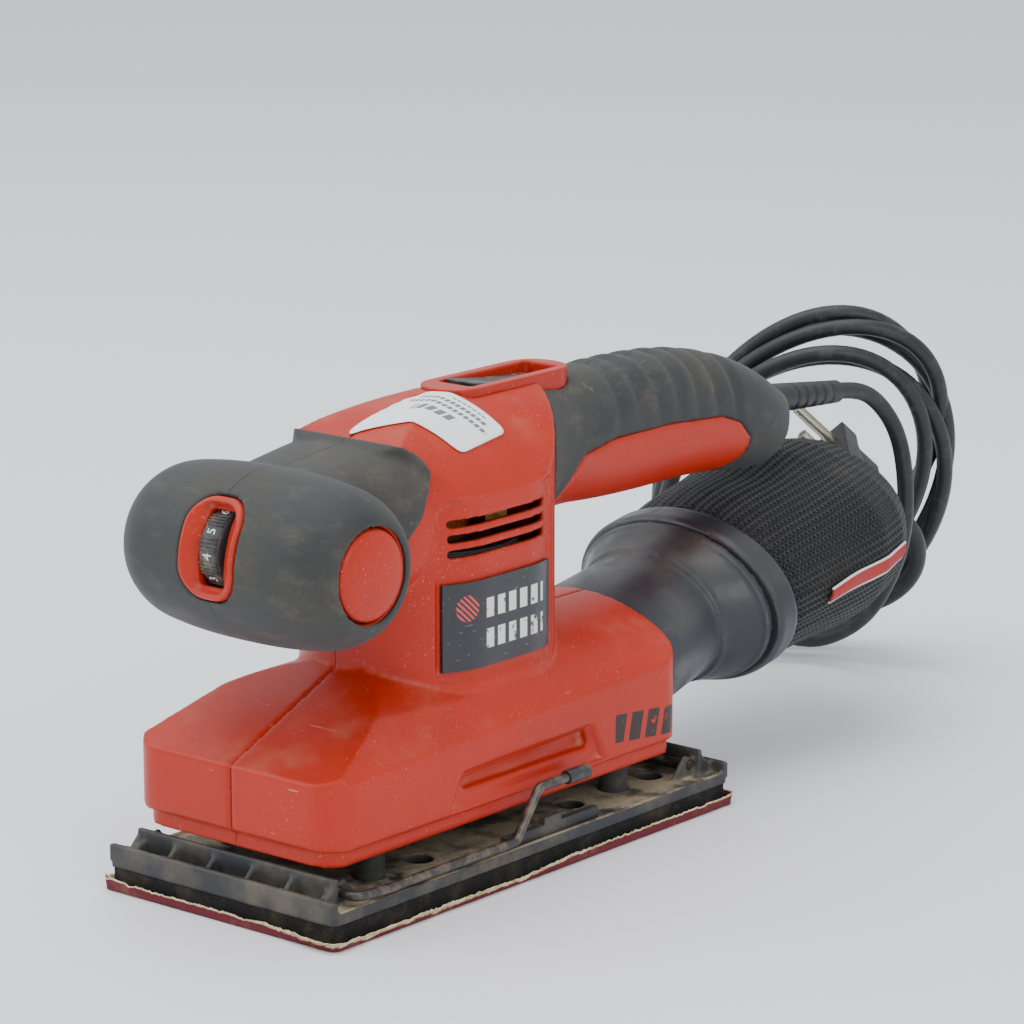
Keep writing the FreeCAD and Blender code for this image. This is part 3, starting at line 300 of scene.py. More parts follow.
def grip_rubber(name):
    f = Finish(name, roughness=0.72, specular=0.32, sheen=0.06)
    grey = list(colours().rubber)
    dust = list(colours().dust)
    cloud = f.step(f.noise(26.0, 5.0, 0.62), 0.40, 0.72)
    smear = f.step(f.noise(1.0, 4.0, 0.6, f.stretched((60.0, 95.0, 160.0))), 0.50, 0.78)
    grain = f.noise(700.0, 3.0)
    dusty = f.product(f.maths("ADD", cloud, smear), 0.13)
    dusty = f.product(dusty, f.step(grain, 0.2, 0.7, 0.6, 1.15))
    edge = f.product(f.product(f.hollow(), f.noise(90.0, 3.0)), 0.25)
    seam = f.step(f.maths("ABSOLUTE", f.axis("X")), 0.00028, 0.00012)
    pale = f.product(f.step(f.noise(85.0, 3.0), 0.66, 0.76), f.step(f.noise(520.0, 2.0), 0.45, 0.7))
    colour = f.blend(f.step(f.noise(14.0, 2.0), 0.3, 0.7), shade(grey, 0.88), shade(grey, 1.12))
    colour = f.blend(f.largest(dusty, edge), colour, between(grey, dust, 0.55))
    colour = f.blend(f.product(pale, 0.22), colour, [0.42, 0.42, 0.42])
    colour = f.blend(f.product(seam, 0.6), colour, shade(grey, 0.45))
    f.bump(f.maths("SUBTRACT", 1.0, seam), 0.00020, 0.8)
    f.bump(f.noise(1500.0, 3.0), 0.00010, 0.6)
    f.bump(f.noise(220.0, 4.0), 0.00012, 0.35)
    return f.done(colour, f.step(f.maths("ADD", dusty, cloud), 0.0, 1.0, 0.62, 0.86))


def platen_plastic(name):
    f = Finish(name, roughness=0.55, specular=0.4)
    dark = list(colours().platen)
    dust = list(colours().dust)
    up = f.step(f.facing_up(), 0.35, 0.9)
    low = f.step(f.axis("Z"), 0.0150, 0.0095)
    heap = f.step(f.noise(70.0, 5.0, 0.65), 0.34, 0.60)
    deep = f.product(up, low, heap)
    walls = f.product(f.step(f.noise(60.0, 4.0, 0.6), 0.40, 0.75), 0.22)
    grain = f.step(f.noise(1500.0, 2.0), 0.35, 0.65, 0.75, 1.0)
    dusty = f.product(f.largest(f.product(deep, 0.88), walls), grain)
    colour = f.blend(dusty, dark, between(dark, dust, 0.92))
    f.bump(f.noise(1100.0, 3.0), 0.00012, 0.5)
    return f.done(colour, f.step(dusty, 0.0, 0.5, 0.5, 0.92))


def dark_plastic(name):
    f = Finish(name, roughness=0.45, specular=0.5)
    dark = linear("2a2b2e")
    dusty = f.product(f.step(f.noise(160.0, 4.0), 0.48, 0.75), 0.28)
    colour = f.blend(dusty, dark, list(colours().dust))
    f.bump(f.noise(1600.0, 2.0), 0.00006, 0.5)
    return f.done(colour, f.step(f.noise(90.0), 0.3, 0.7, 0.38, 0.58))


def adapter_plastic(name):
    f = Finish(name, roughness=0.4, specular=0.5)
    dark = list(colours().adapter)
    worn = linear("8a8274")
    rub = f.product(f.ridge(0.515, 0.57), f.step(f.noise(150.0, 4.0, 0.7), 0.36, 0.60))
    scuff = f.product(f.step(f.noise(1.0, 3.0, 0.6, f.stretched((500.0, 90.0, 500.0))), 0.66, 0.74), 0.10)
    film = f.product(f.product(f.step(f.facing_up(), 0.2, 0.9),
                                         f.step(f.noise(45.0, 4.0), 0.4, 0.75)), 0.08)
    colour = f.blend(f.step(f.noise(24.0, 2.0), 0.3, 0.7), shade(dark, 0.85), shade(dark, 1.2))
    colour = f.blend(film, colour, list(colours().dust))
    colour = f.blend(f.largest(f.product(rub, 0.55), scuff), colour, worn)
    f.bump(f.noise(1400.0, 2.0), 0.00005, 0.4)
    return f.done(colour, f.step(f.noise(60.0, 4.0), 0.35, 0.7, 0.30, 0.55))


def foam_rubber(name):
    f = Finish(name, roughness=0.9, specular=0.2)
    pores = f.step(f.cells(1500.0), 0.1, 0.5)
    dusty = f.product(f.step(f.noise(90.0, 4.0), 0.42, 0.75), 0.22)
    # painted shade: each pore is painted darker towards its middle, as shade inside the pore
    colour = f.blend(dusty, f.blend(pores, linear("121212"), linear("232221")), linear("7a6d5a"))
    f.bump(pores, 0.0002, 0.8)
    return f.done(colour)


def sanding_sheet(name):
    """Grit outside, and the pale backing where the torn attribute says so."""
    f = Finish(name, roughness=0.88, specular=0.25)
    grit = f.noise(2600.0, 2.0)
    red = list(colours().paper)
    torn = f.node("ShaderNodeAttribute", attribute_name="torn").outputs["Fac"]
    fray = f.maths("ADD", torn, f.product(f.maths("SUBTRACT", f.noise(420.0, 4.0, 0.7), 0.5), 0.9))
    pale = f.step(fray, 0.46, 0.60)
    worn = f.step(f.noise(130.0, 4.0), 0.50, 0.72)
    front = f.blend(f.step(grit, 0.35, 0.65), shade(red, 0.72), shade(red, 1.25))
    front = f.blend(f.product(worn, 0.35), front, linear("8f6a5c"))
    cream = f.blend(f.step(f.noise(260.0, 4.0), 0.35, 0.7), list(colours().torn), linear("a8946a"))
    f.bump(grit, 0.00012, 0.8)
    f.bump(f.noise(600.0, 4.0), 0.00025, 0.5)
    return f.done(f.blend(pale, front, cream))


def dark_wire(name):
    f = Finish(name, roughness=0.42, metallic=0.75, specular=0.5)
    stain = f.step(f.noise(240.0, 4.0), 0.42, 0.68)
    colour = f.blend(stain, linear("4a4744"), linear("7a7064"))
    f.bump(f.noise(900.0, 2.0), 0.00005, 0.5)
    return f.done(colour, f.step(stain, 0.0, 1.0, 0.34, 0.62))


def bright_steel(name):
    f = Finish(name, roughness=0.32, metallic=1.0)
    turned = f.noise(1.0, 2.0, 0.5, f.stretched((300.0, 300.0, 3000.0)))
    colour = f.blend(f.step(turned, 0.3, 0.7), linear("8f9194"), linear("b5b7ba"))
    f.bump(turned, 0.00003, 0.5)
    return f.done(colour, f.step(turned, 0.3, 0.7, 0.24, 0.4))


def stacked_sheets(name):
    f = Finish(name, roughness=0.55, metallic=0.7)
    layer = f.maths("SINE", f.product(f.axis("Z"), 6283.0 / 0.5))
    colour = f.blend(f.step(layer, -0.4, 0.9), linear("3a3b3e"), linear("6b6d70"))
    f.bump(layer, 0.00005, 0.6)
    return f.done(colour)


def enamelled_copper(name):
    f = Finish(name, roughness=0.35, metallic=0.85)
    strand = f.maths("SINE", f.product(f.maths("ADD", f.axis("X"), f.axis("Y")), 9000.0))
    colour = f.blend(f.step(strand, -0.5, 0.8), linear("6d3014"), linear("b5622c"))
    f.bump(strand, 0.0001, 0.6)
    return f.done(colour)


def plain_brass(name):
    f = Finish(name, roughness=0.35, metallic=1.0)
    colour = f.blend(f.step(f.noise(200.0, 3.0), 0.4, 0.7), linear("b08d4a"), linear("8a6a38"))
    return f.done(colour, f.step(f.noise(300.0), 0.3, 0.7, 0.28, 0.5))


def pressed_carbon(name):
    f = Finish(name, roughness=0.7, specular=0.3)
    f.bump(f.noise(2000.0, 2.0), 0.00005, 0.5)
    return f.done(f.blend(f.noise(800.0, 2.0), linear("1a1a1c"), linear("343436")))


def board_resin(name):
    f = Finish(name, roughness=0.3, specular=0.5)
    tracks = f.step(f.maths("SINE", f.product(f.axis("X"), 2500.0)), 0.6, 0.8)
    return f.done(f.blend(tracks, linear("14502c"), linear("3f8a4f")))


def knitted_cloth(name):
    """Ribbed knit: rows of small holes that follow the bag's own map."""
    f = Finish(name, roughness=0.85, specular=0.2, sheen=0.15)
    uv = f.node("ShaderNodeUVMap", uv_map="cloth").outputs["UV"]
    across = f.axis("X", uv)
    along = f.axis("Y", uv)
    rib = f.maths("SINE", f.product(across, 2 * math.pi * 82.0))
    course = f.maths("SINE", f.maths("ADD", f.product(along, 2 * math.pi * 44.0),
                                     f.product(f.step(rib, -0.05, 0.05), math.pi)))
    hole = f.product(f.step(rib, -0.9, 0.4), f.step(course, 0.0, 0.75))
    black = list(colours().bag)
    lint = f.product(f.step(f.noise(60.0, 4.0), 0.50, 0.75), 0.05)
    thread = f.blend(f.step(f.noise(900.0), 0.3, 0.7), shade(black, 0.7), shade(black, 1.5))
    thread = f.blend(lint, thread, list(colours().dust))
    # painted shade: the knit's holes are painted near-black, standing for the shaded inside of the bag seen
    # through them
    colour = f.blend(hole, thread, [0.004, 0.004, 0.005])
    f.bump(f.maths("SUBTRACT", rib, f.product(hole, 1.6)), 0.0005, 0.9)
    return f.done(colour)


def woven_tag(name):
    f = Finish(name, roughness=0.75, specular=0.25, sheen=0.1)
    uv = f.node("ShaderNodeUVMap", uv_map="cloth").outputs["UV"]
    across = f.axis("Y", uv)
    weave = f.maths("SINE", f.product(f.axis("X", uv), 2 * math.pi * 70.0))
    red = list(colours().tag)
    base = f.blend(f.step(weave, -0.5, 0.6), shade(red, 0.75), shade(red, 1.15))
    low = f.step(across, 0.16, 0.10)
    high = f.step(across, 0.90, 0.95)
    colour = f.blend(f.largest(low, high), base, linear("e6e4e0"))
    f.bump(weave, 0.00012, 0.7)
    return f.done(colour)


def cord_rubber(name):
    f = Finish(name, roughness=0.5, specular=0.4)
    dark = list(colours().lead)
    scuff = f.step(f.noise(120.0, 4.0, 0.7), 0.50, 0.75)
    colour = f.blend(f.product(scuff, 0.30), dark, linear("6c6b69"))
    f.bump(f.noise(1200.0, 2.0), 0.00006, 0.5)
    return f.done(colour, f.step(scuff, 0.0, 1.0, 0.42, 0.7))


def pin_plate(name):
    f = Finish(name, roughness=0.3, metallic=0.9)
    return f.done(f.blend(f.noise(400.0, 2.0), linear("d8d2c0"), linear("b9b29c")),
                  f.step(f.noise(500.0), 0.3, 0.7, 0.22, 0.42))


def label_foil(name):
    """Black foil with a plain mark: a red disc and rows of pale blocks."""
    f = Finish(name, roughness=0.3, specular=0.5, coat=0.2)
    y = f.axis("Y")
    z = f.axis("Z")

    def within(value, low, high):
        soft = 0.00015
        return f.product(f.step(value, low - soft, low + soft), f.step(value, high + soft, high - soft))

    blocks = f.step(f.maths("SINE", f.product(y, 2 * math.pi / 0.0052)), -0.55, -0.35)
    rows = f.largest(f.product(within(z, 0.0805, 0.0865), within(y, -0.0110, 0.0165)),
                     f.product(within(z, 0.0710, 0.0770), within(y, -0.0110, 0.0165)))
    pale = f.product(rows, blocks)
    dy = f.maths("SUBTRACT", y, -0.0180)
    dz = f.maths("SUBTRACT", z, 0.0845)
    reach = f.maths("SQRT", f.maths("ADD", f.product(dy, dy), f.product(dz, dz)))
    disc = f.step(reach, 0.0042, 0.0039)
    bars = f.step(f.maths("SINE", f.product(f.maths("ADD", y, z), 2 * math.pi / 0.0019)),
                  -0.2, 0.1)
    wear = f.step(f.noise(260.0, 4.0), 0.34, 0.42)
    colour = f.blend(f.product(disc, bars), linear("1b1c1f"), linear("c8433a"))
    colour = f.blend(f.product(pale, wear), colour, linear("dcdcd8"))
    scratch = f.step(f.noise(1.0, 1.0, 0.4, f.stretched((700.0, 200.0, 1800.0))), 0.72, 0.75)
    colour = f.blend(f.product(scratch, 0.5), colour, linear("8a8a88"))
    return f.done(colour, f.step(f.noise(80.0), 0.3, 0.7, 0.25, 0.42))


def sticker_paper(name):
    """White coated paper with plain dark bars where print would be."""
    f = Finish(name, roughness=0.5, specular=0.35)
    uv = f.node("ShaderNodeUVMap", uv_map="sheet").outputs["UV"]
    u = f.axis("X", uv)
    v = f.axis("Y", uv)

    def bar(low, high, start, stop):
        soft = 0.006
        line = f.product(f.step(v, low - soft, low + soft), f.step(v, high + soft, high - soft))
        return f.product(line, f.step(u, start - soft, start + soft), f.step(u, stop + soft, stop - soft))

    heavy = f.product(bar(0.40, 0.54, 0.30, 0.72),
                      f.step(f.maths("SINE", f.product(u, 2 * math.pi * 11)), -0.75, -0.55))
    thin = f.product(f.largest(bar(0.63, 0.70, 0.12, 0.94), bar(0.76, 0.83, 0.12, 0.88),
                               bar(0.89, 0.92, 0.40, 0.80)),
                     f.step(f.maths("SINE", f.product(u, 2 * math.pi * 17)), -0.8, -0.6))
    stain = f.product(f.step(f.noise(50.0, 4.0), 0.5, 0.8), 0.08)
    paper = f.blend(stain, linear("f4f5f8"), linear("c9c2b4"))
    return f.done(f.blend(f.product(f.largest(heavy, thin), 0.85), paper, linear("3a3c42")))


def dial_white(name):
    f = Finish(name, roughness=0.5, specular=0.4)
    return f.done(f.blend(f.step(f.noise(900.0), 0.35, 0.6), linear("bdbdb8"), linear("f2f2ee")))


def studio_floor(name):
    f = Finish(name, roughness=0.5, specular=0.25)
    pale = list(colours().floor)
    return f.done(f.blend(f.noise(3.0, 2.0), shade(pale, 0.99), shade(pale, 1.01)))


# ---------------- shaping helpers ----------------

def linked(name, data):
    """A new object in the scene that holds the data."""
    made = bpy.data.objects.new(name, data)
    bpy.context.scene.collection.objects.link(made)
    return made


def meshed(work, name):
    """The bmesh as a plain mesh; the bmesh is freed."""
    mesh = bpy.data.meshes.new(name)
    work.to_mesh(mesh)
    work.free()
    return mesh


def put(name, mesh, material, body, smooth=True):
    """Adds a finished mesh as a piece that rides on a body."""
    piece = linked(name, mesh)
    if smooth:
        mesh.polygons.foreach_set("use_smooth", [True] * len(mesh.polygons))
    mesh.materials.clear()
    mesh.materials.append(material)
    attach(piece, body)
    return piece


def thickened(name, mesh, thickness, offset):
    """The sheet as one plain mesh with a thickness."""
    holder = linked(name, mesh)
    wall = holder.modifiers.new("thickness", "SOLIDIFY")
    wall.thickness = thickness
    wall.offset = offset
    return settled(holder)


def settled(piece):
    """The piece with its modifiers worked into one plain mesh."""
    bpy.context.view_layer.update()
    graph = bpy.context.evaluated_depsgraph_get()
    mesh = bpy.data.meshes.new_from_object(piece.evaluated_get(graph))
    bpy.data.objects.remove(piece)
    return mesh


def softened(nodes, grain, soften, keep=1.0):
    """A copy of CAD nodes as one mesh whose edges are rounded like moulded plastic."""
    work = bmesh.new()
    for node in nodes:
        work.from_mesh(NODES[node].data)
    bmesh.ops.remove_doubles(work, verts=work.verts, dist=1e-6)
    mesh = meshed(work, "work")
    piece = linked("work", mesh)
    remesh = piece.modifiers.new("grain", "REMESH")
    remesh.mode = "VOXEL"
    remesh.voxel_size = grain
    smooth = piece.modifiers.new("soften", "SMOOTH")
    smooth.factor = 0.5
    smooth.iterations = soften
    if keep < 1.0:
        thin = piece.modifiers.new("thin", "DECIMATE")
        thin.ratio = keep
    return settled(piece)


def lathe(profile, steps):
    """A closed form turned about Z from (radius, height) points, poles closed."""
    work = bmesh.new()
    rings = []
    for radius, height in profile:
        if radius < 1e-7:
            rings.append([work.verts.new((0, 0, height))])
            continue
        ring = []
        for i in range(steps):
            a = 2 * math.pi * i / steps
            ring.append(work.verts.new((radius * math.cos(a), radius * math.sin(a), height)))
        rings.append(ring)
    for low, high in zip(rings, rings[1:]):
        for i in range(steps):
            j = (i + 1) % steps
            if len(low) == 1:
                work.faces.new((low[0], high[j], high[i]))
            elif len(high) == 1:
                work.faces.new((low[i], low[j], high[0]))
            else:
                work.faces.new((low[i], low[j], high[j], high[i]))
    bmesh.ops.recalc_face_normals(work, faces=work.faces)
    return meshed(work, "lathe")


def paint(node, material):
    """A CAD node keeps its shape and gets a worked material."""
    data = NODES[node].data
    data.materials.clear()
    data.materials.append(material)


def group_input(tree, name, kind, default):
    socket = tree.interface.new_socket(name=name, in_out="INPUT", socket_type=kind)
    socket.default_value = default
    return socket.identifier


def repeat_tree(name):
    """Geometry Nodes that set a small bar again and again along the piece's own edges."""
    tree = bpy.data.node_groups.new(name, "GeometryNodeTree")
    tree.interface.new_socket(name="Path", in_out="INPUT", socket_type="NodeSocketGeometry")
    ids = {
        "spacing": group_input(tree, "Spacing", "NodeSocketFloat", 1.5 * MM),
        "length": group_input(tree, "Bar length", "NodeSocketFloat", 1.0 * MM),
        "width": group_input(tree, "Bar width", "NodeSocketFloat", 0.3 * MM),
        "seed": group_input(tree, "Seed", "NodeSocketInt", 3),
    }
    socket = tree.interface.new_socket(name="Finish", in_out="INPUT", socket_type="NodeSocketMaterial")
    ids["finish"] = socket.identifier
    tree.interface.new_socket(name="Bars", in_out="OUTPUT", socket_type="NodeSocketGeometry")
    nodes = tree.nodes
    link = tree.links.new
    start = nodes.new("NodeGroupInput")
    end = nodes.new("NodeGroupOutput")
    curve = nodes.new("GeometryNodeMeshToCurve")
    points = nodes.new("GeometryNodeCurveToPoints")
    points.mode = "LENGTH"
    bar = nodes.new("GeometryNodeMeshUVSphere")
    bar.inputs["Segments"].default_value = 6
    bar.inputs["Rings"].default_value = 4
    bar.inputs["Radius"].default_value = 0.5
    size = nodes.new("ShaderNodeCombineXYZ")
    jitter = nodes.new("FunctionNodeRandomValue")
    jitter.inputs[2].default_value = 0.85
    jitter.inputs[3].default_value = 1.15
    scaled = nodes.new("ShaderNodeMath")
    scaled.operation = "MULTIPLY"
    place = nodes.new("GeometryNodeInstanceOnPoints")
    real = nodes.new("GeometryNodeRealizeInstances")
    skin = nodes.new("GeometryNodeSetMaterial")
    link(start.outputs["Path"], curve.inputs["Mesh"])
    link(curve.outputs["Curve"], points.inputs["Curve"])
    link(start.outputs["Spacing"], points.inputs["Length"])
    link(start.outputs["Seed"], jitter.inputs["Seed"])
    link(start.outputs["Bar length"], scaled.inputs[0])
    link(jitter.outputs[1], scaled.inputs[1])
    link(start.outputs["Bar width"], size.inputs["X"])
    link(start.outputs["Bar width"], size.inputs["Y"])
    link(scaled.outputs[0], size.inputs["Z"])
    link(points.outputs["Points"], place.inputs["Points"])
    link(points.outputs["Rotation"], place.inputs["Rotation"])
    link(bar.outputs["Mesh"], place.inputs["Instance"])
    link(size.outputs[0], place.inputs["Scale"])
    link(place.outputs["Instances"], real.inputs["Geometry"])
    link(real.outputs["Geometry"], skin.inputs["Geometry"])
    link(start.outputs["Finish"], skin.inputs["Material"])
    link(skin.outputs["Geometry"], end.inputs["Bars"])
    return tree, ids


def stitched(path, spacing, length, width, material, seed=3):
    """Bars along a polyline, as one plain mesh."""
    mesh = bpy.data.meshes.new("path")
    mesh.from_pydata([tuple(p) for p in path], [(i, i + 1) for i in range(len(path) - 1)], [])
    holder = linked("path", mesh)
    tree, ids = repeat_tree("Row of bars")
    modifier = holder.modifiers.new("row", "NODES")
    modifier.node_group = tree
    modifier[ids["spacing"]] = spacing
    modifier[ids["length"]] = length
    modifier[ids["width"]] = width
    modifier[ids["seed"]] = seed
    modifier[ids["finish"]] = material
    return settled(holder)


# ---------------- shells and grips ----------------

def make_housing():
    """Both moulded shells, each with soft edges, so that a fine seam shows between them."""
    red = finish("moulded_red_plastic", housing_red)
    for side in ("left", "right"):
        mesh = softened(["housing_" + side], sizes().shell_grain, sizes().shell_soften, 0.62)
        piece = put("shell_" + side, mesh, red, "body")
        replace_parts(piece, "housing_" + side)
    frame_mesh = softened(["switch_frame"], 0.5 * MM, 3, 0.6)
    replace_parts(put("switch_surround", frame_mesh, red, "body"), "switch_frame")


GRIP_AXIS = Vector((0, -0.072, 0.1065))
GRIP_RADIUS = 0.026
CAP_FACE = 0.042


def make_front_grip():
    """The cross grip's rubber, smoothed until the neck flows into the barrel."""
    rubber = finish("dusty_grip_rubber", grip_rubber)
    mesh = softened(["front_grip_rubber"], 0.8 * MM, sizes().rubber_soften, 0.7)
    piece = put("cross_grip_rubber", mesh, rubber, "body")
    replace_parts(piece, "front_grip_rubber")


def make_end_caps():
    """Two domed caps in the ends of the cross grip."""
    red = finish("moulded_red_plastic", housing_red)
    profile = [(0, 0.95), (6, 0.85), (10, 0.55), (12.3, 0.05), (13.2, -0.45), (13.65, -1.2),
               (13.7, -2.0), (13.7, -3.9), (0, -3.9)]
    for name, side in (("left", 1), ("right", -1)):
        mesh = lathe([(r * MM, h * MM) for r, h in profile], 96)
        turn = Matrix.Rotation(side * math.pi / 2, 4, "Y")
        mesh.transform(Matrix.Translation(GRIP_AXIS + Vector((side * CAP_FACE, 0, 0))) @ turn)
        piece = put("end_cap_" + name, mesh, red, "body")
        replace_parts(piece, "grip_end_plug_" + name)


GROOVE_DEPTH = 1.9
FINGER_GROOVES = [0.0765 + 0.0100 * i for i in range(7)]


def make_rear_handle():
    """The handle's rubber with finger grooves pressed into its back."""
    rubber = finish("dusty_grip_rubber", grip_rubber)
    mesh = softened(["handle_rubber"], 0.8 * MM, 5, 0.8)
    for vertex in mesh.vertices:
        x, y, z = vertex.co
        back = max(0.0, min(1.0, (z - 0.112 - 0.10 * max(0.0, 0.150 - y)) / 0.016))
        if back <= 0:
            continue
        press = max(math.exp(-((y - g + 0.10 * abs(x)) / 0.0021) ** 2) for g in FINGER_GROOVES)
        inward = Vector((-x * 0.8, 0, 0.112 - z)).normalized()
        vertex.co += inward * press * back * GROOVE_DEPTH * MM
    piece = put("rear_handle_rubber", mesh, rubber, "body")
    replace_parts(piece, "handle_rubber")


# ---------------- speed dial ----------------

DIAL_CENTRE = Vector((0, -0.0845, 0.1107))
DIAL_RADIUS = 0.0121
DIAL_TILT = math.radians(15)
DIAL_START = math.radians(16)


def rounded_outline(half_x, half_y, radius, count):
    """Points round a rounded rectangle, one for each direction from its middle."""
    points = []
    for i in range(count):
        a = 2 * math.pi * i / count
        c, s = math.cos(a), math.sin(a)
        low, high = 0.0, 2 * max(half_x, half_y)
        for _ in range(40):
            t = (low + high) / 2
            dx = max(abs(c * t) - (half_x - radius), 0)
            dy = max(abs(s * t) - (half_y - radius), 0)
            if math.hypot(dx, dy) < radius and abs(c * t) < half_x and abs(s * t) < half_y:
                low = t
            else:
                high = t
        points.append((c * low, s * low))
    return points


def make_dial_frame():
    """A dished surround, set into the rubber, with a slot for the wheel."""
    red = finish("moulded_red_plastic", housing_red)
    count = 120
    outer = rounded_outline(10.6, 15.1, 8.8, count)
    slot = rounded_outline(4.9, 11.2, 1.2, count)
    rings = [(outer, 0.0, 0.0, -6.0), (outer, 0.0, 0.0, 0.1), (outer, 0.35, 0.0, 0.55),
             (outer, 1.1, 0.0, 0.55), (outer, 1.7, 0.0, 0.2), (outer, 0.0, 0.55, -1.5),
             (slot, -0.5, 0.0, -2.6), (slot, 0.0, 0.0, -3.1), (slot, 0.0, 0.0, -9.0)]
    work = bmesh.new()
    loops = []
    out = Vector((0, -math.cos(DIAL_TILT), math.sin(DIAL_TILT)))
    up = Vector((0, math.sin(DIAL_TILT), math.cos(DIAL_TILT)))
    for outline, inset, share, height in rings:
        loop = []
        for i, (u, v) in enumerate(outline):
            if share:
                u += (slot[i][0] - u) * share
                v += (slot[i][1] - v) * share
            length = math.hypot(u, v)
            u -= u / length * inset
            v -= v / length * inset
            w = math.sqrt((GRIP_RADIUS / MM) ** 2 - v * v) - 0.25 * (abs(u) / 10) ** 2 + height
            place = GRIP_AXIS + (Vector((u, 0, 0)) + up * v + out * w) * MM
            loop.append(work.verts.new(place))
        loops.append(loop)
    for low, high in zip(loops, loops[1:]):
        for i in range(count):
            j = (i + 1) % count
            work.faces.new((low[i], low[j], high[j], high[i]))
    for i in range(count):
        j = (i + 1) % count
        work.faces.new((loops[-1][i], loops[-1][j], loops[0][j], loops[0][i]))
    bmesh.ops.recalc_face_normals(work, faces=work.faces)
    mesh = meshed(work, "dial_surround")
    piece = put("dial_surround", mesh, red, "body")
    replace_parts(piece, "dial_frame")


def rib_tree():
    """Geometry Nodes that lay one rib across the wheel at each point."""
    tree = bpy.data.node_groups.new("Dial ribs", "GeometryNodeTree")
    tree.interface.new_socket(name="Points", in_out="INPUT", socket_type="NodeSocketGeometry")
    ids = {
        "width": group_input(tree, "Rib width", "NodeSocketFloat", 0.8 * MM),
        "length": group_input(tree, "Rib length", "NodeSocketFloat", 7.0 * MM),
    }
    socket = tree.interface.new_socket(name="Finish", in_out="INPUT", socket_type="NodeSocketMaterial")
    ids["finish"] = socket.identifier
    tree.interface.new_socket(name="Ribs", in_out="OUTPUT", socket_type="NodeSocketGeometry")
    nodes = tree.nodes
    link = tree.links.new
    start = nodes.new("NodeGroupInput")
    end = nodes.new("NodeGroupOutput")
    rib = nodes.new("GeometryNodeMeshCylinder")
    rib.inputs["Vertices"].default_value = 12
    rib.inputs["Radius"].default_value = 0.5
    rib.inputs["Depth"].default_value = 1.0
    lay = nodes.new("FunctionNodeEulerToRotation")
    lay.inputs[0].default_value = (0, math.pi / 2, 0)
    size = nodes.new("ShaderNodeCombineXYZ")
    place = nodes.new("GeometryNodeInstanceOnPoints")
    real = nodes.new("GeometryNodeRealizeInstances")
    skin = nodes.new("GeometryNodeSetMaterial")
    link(start.outputs["Points"], place.inputs["Points"])
    link(rib.outputs["Mesh"], place.inputs["Instance"])
    link(lay.outputs[0], place.inputs["Rotation"])
    link(start.outputs["Rib width"], size.inputs["X"])
    link(start.outputs["Rib width"], size.inputs["Y"])
    link(start.outputs["Rib length"], size.inputs["Z"])
    link(size.outputs[0], place.inputs["Scale"])
    link(place.outputs["Instances"], real.inputs["Geometry"])
    link(real.outputs["Geometry"], skin.inputs["Geometry"])
    link(start.outputs["Finish"], skin.inputs["Material"])
    link(skin.outputs["Geometry"], end.inputs["Ribs"])
    return tree, ids


NUMBER_STEP = math.radians(36)


def on_wheel(angle, radius, x):
    """A point of the wheel; angle 0 faces the front and grows upwards."""
    return DIAL_CENTRE + Vector((x, -radius * math.cos(angle), radius * math.sin(angle)))


def make_speed_dial():
    """The thumbwheel: a turned wheel, groups of ribs made by nodes, and its numbers."""
    dark = finish("dark_moulded_plastic", dark_plastic)
    profile = [(0, -3.8), (10.6, -3.8), (11.7, -3.5), (12.05, -3.0), (12.1, -2.4), (12.1, 2.4),
               (12.05, 3.0), (11.7, 3.5), (10.6, 3.8), (0, 3.8)]
    wheel = lathe([(r * MM, h * MM) for r, h in profile], 144)
    wheel.transform(Matrix.Translation(DIAL_CENTRE) @ Matrix.Rotation(math.pi / 2, 4, "Y"))
    piece = put("thumbwheel", wheel, dark, "dial")
    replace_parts(piece, "speed_dial")

    angles = []
    for i in range(-4, 4):
        middle = DIAL_START + NUMBER_STEP * i
        angles += [middle + math.radians(5.2) * k for k in (-1.5, -0.5, 0.5, 1.5)]
    holder_mesh = bpy.data.meshes.new("rib_points")
    holder_mesh.from_pydata([tuple(on_wheel(a, DIAL_RADIUS, 0)) for a in angles], [], [])
    holder = linked("rib_points", holder_mesh)
    tree, ids = rib_tree()
    modifier = holder.modifiers.new("ribs", "NODES")
    modifier.node_group = tree
    modifier[ids["width"]] = 0.75 * MM
    modifier[ids["length"]] = 6.6 * MM
    modifier[ids["finish"]] = dark
    put("thumbwheel_ribs", settled(holder), dark, "dial")

    white = finish("dial_number_white", dial_white)
    work = bmesh.new()
    for i in range(6):
        text = bpy.data.curves.new("number", "FONT")
        text.body = str(i + 1)
        text.size = 4.4 * MM
        text.align_x = "CENTER"
        text.align_y = "CENTER"
        text.extrude = 0.05 * MM
        text.resolution_u = 4
        carrier = linked("number", text)
        number = settled(carrier)
        middle = DIAL_START + NUMBER_STEP * (i - 3.5)
        for vertex in number.vertices:
            u, v, w = vertex.co
            vertex.co = on_wheel(middle + u / DIAL_RADIUS, DIAL_RADIUS + w + 0.03 * MM, -v)
        work.from_mesh(number)
    mesh = meshed(work, "dial_numbers")
    put("dial_numbers", mesh, white, "dial", smooth=False)


# ---------------- switch and labels ----------------

def make_switch():
    dark = finish("dark_moulded_plastic", dark_plastic)
    mesh = softened(["switch_rocker"], 0.4 * MM, 3, 0.6)
    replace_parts(put("rocker", mesh, dark, "rocker"), "switch_rocker")
    paint("switch_body", dark)


STICKER_HALF_LENGTH = 17.0
STICKER_HALF_WIDTH = 13.0
# corners (x, y) of the sticker seen from above, in mm, from its front left one round
STICKER_CORNERS = [
    Vector((-1.5, -35.5)), Vector((25.5, -14.0)), Vector((23.5, 9.5)), Vector((0.0, 0.5)),
]


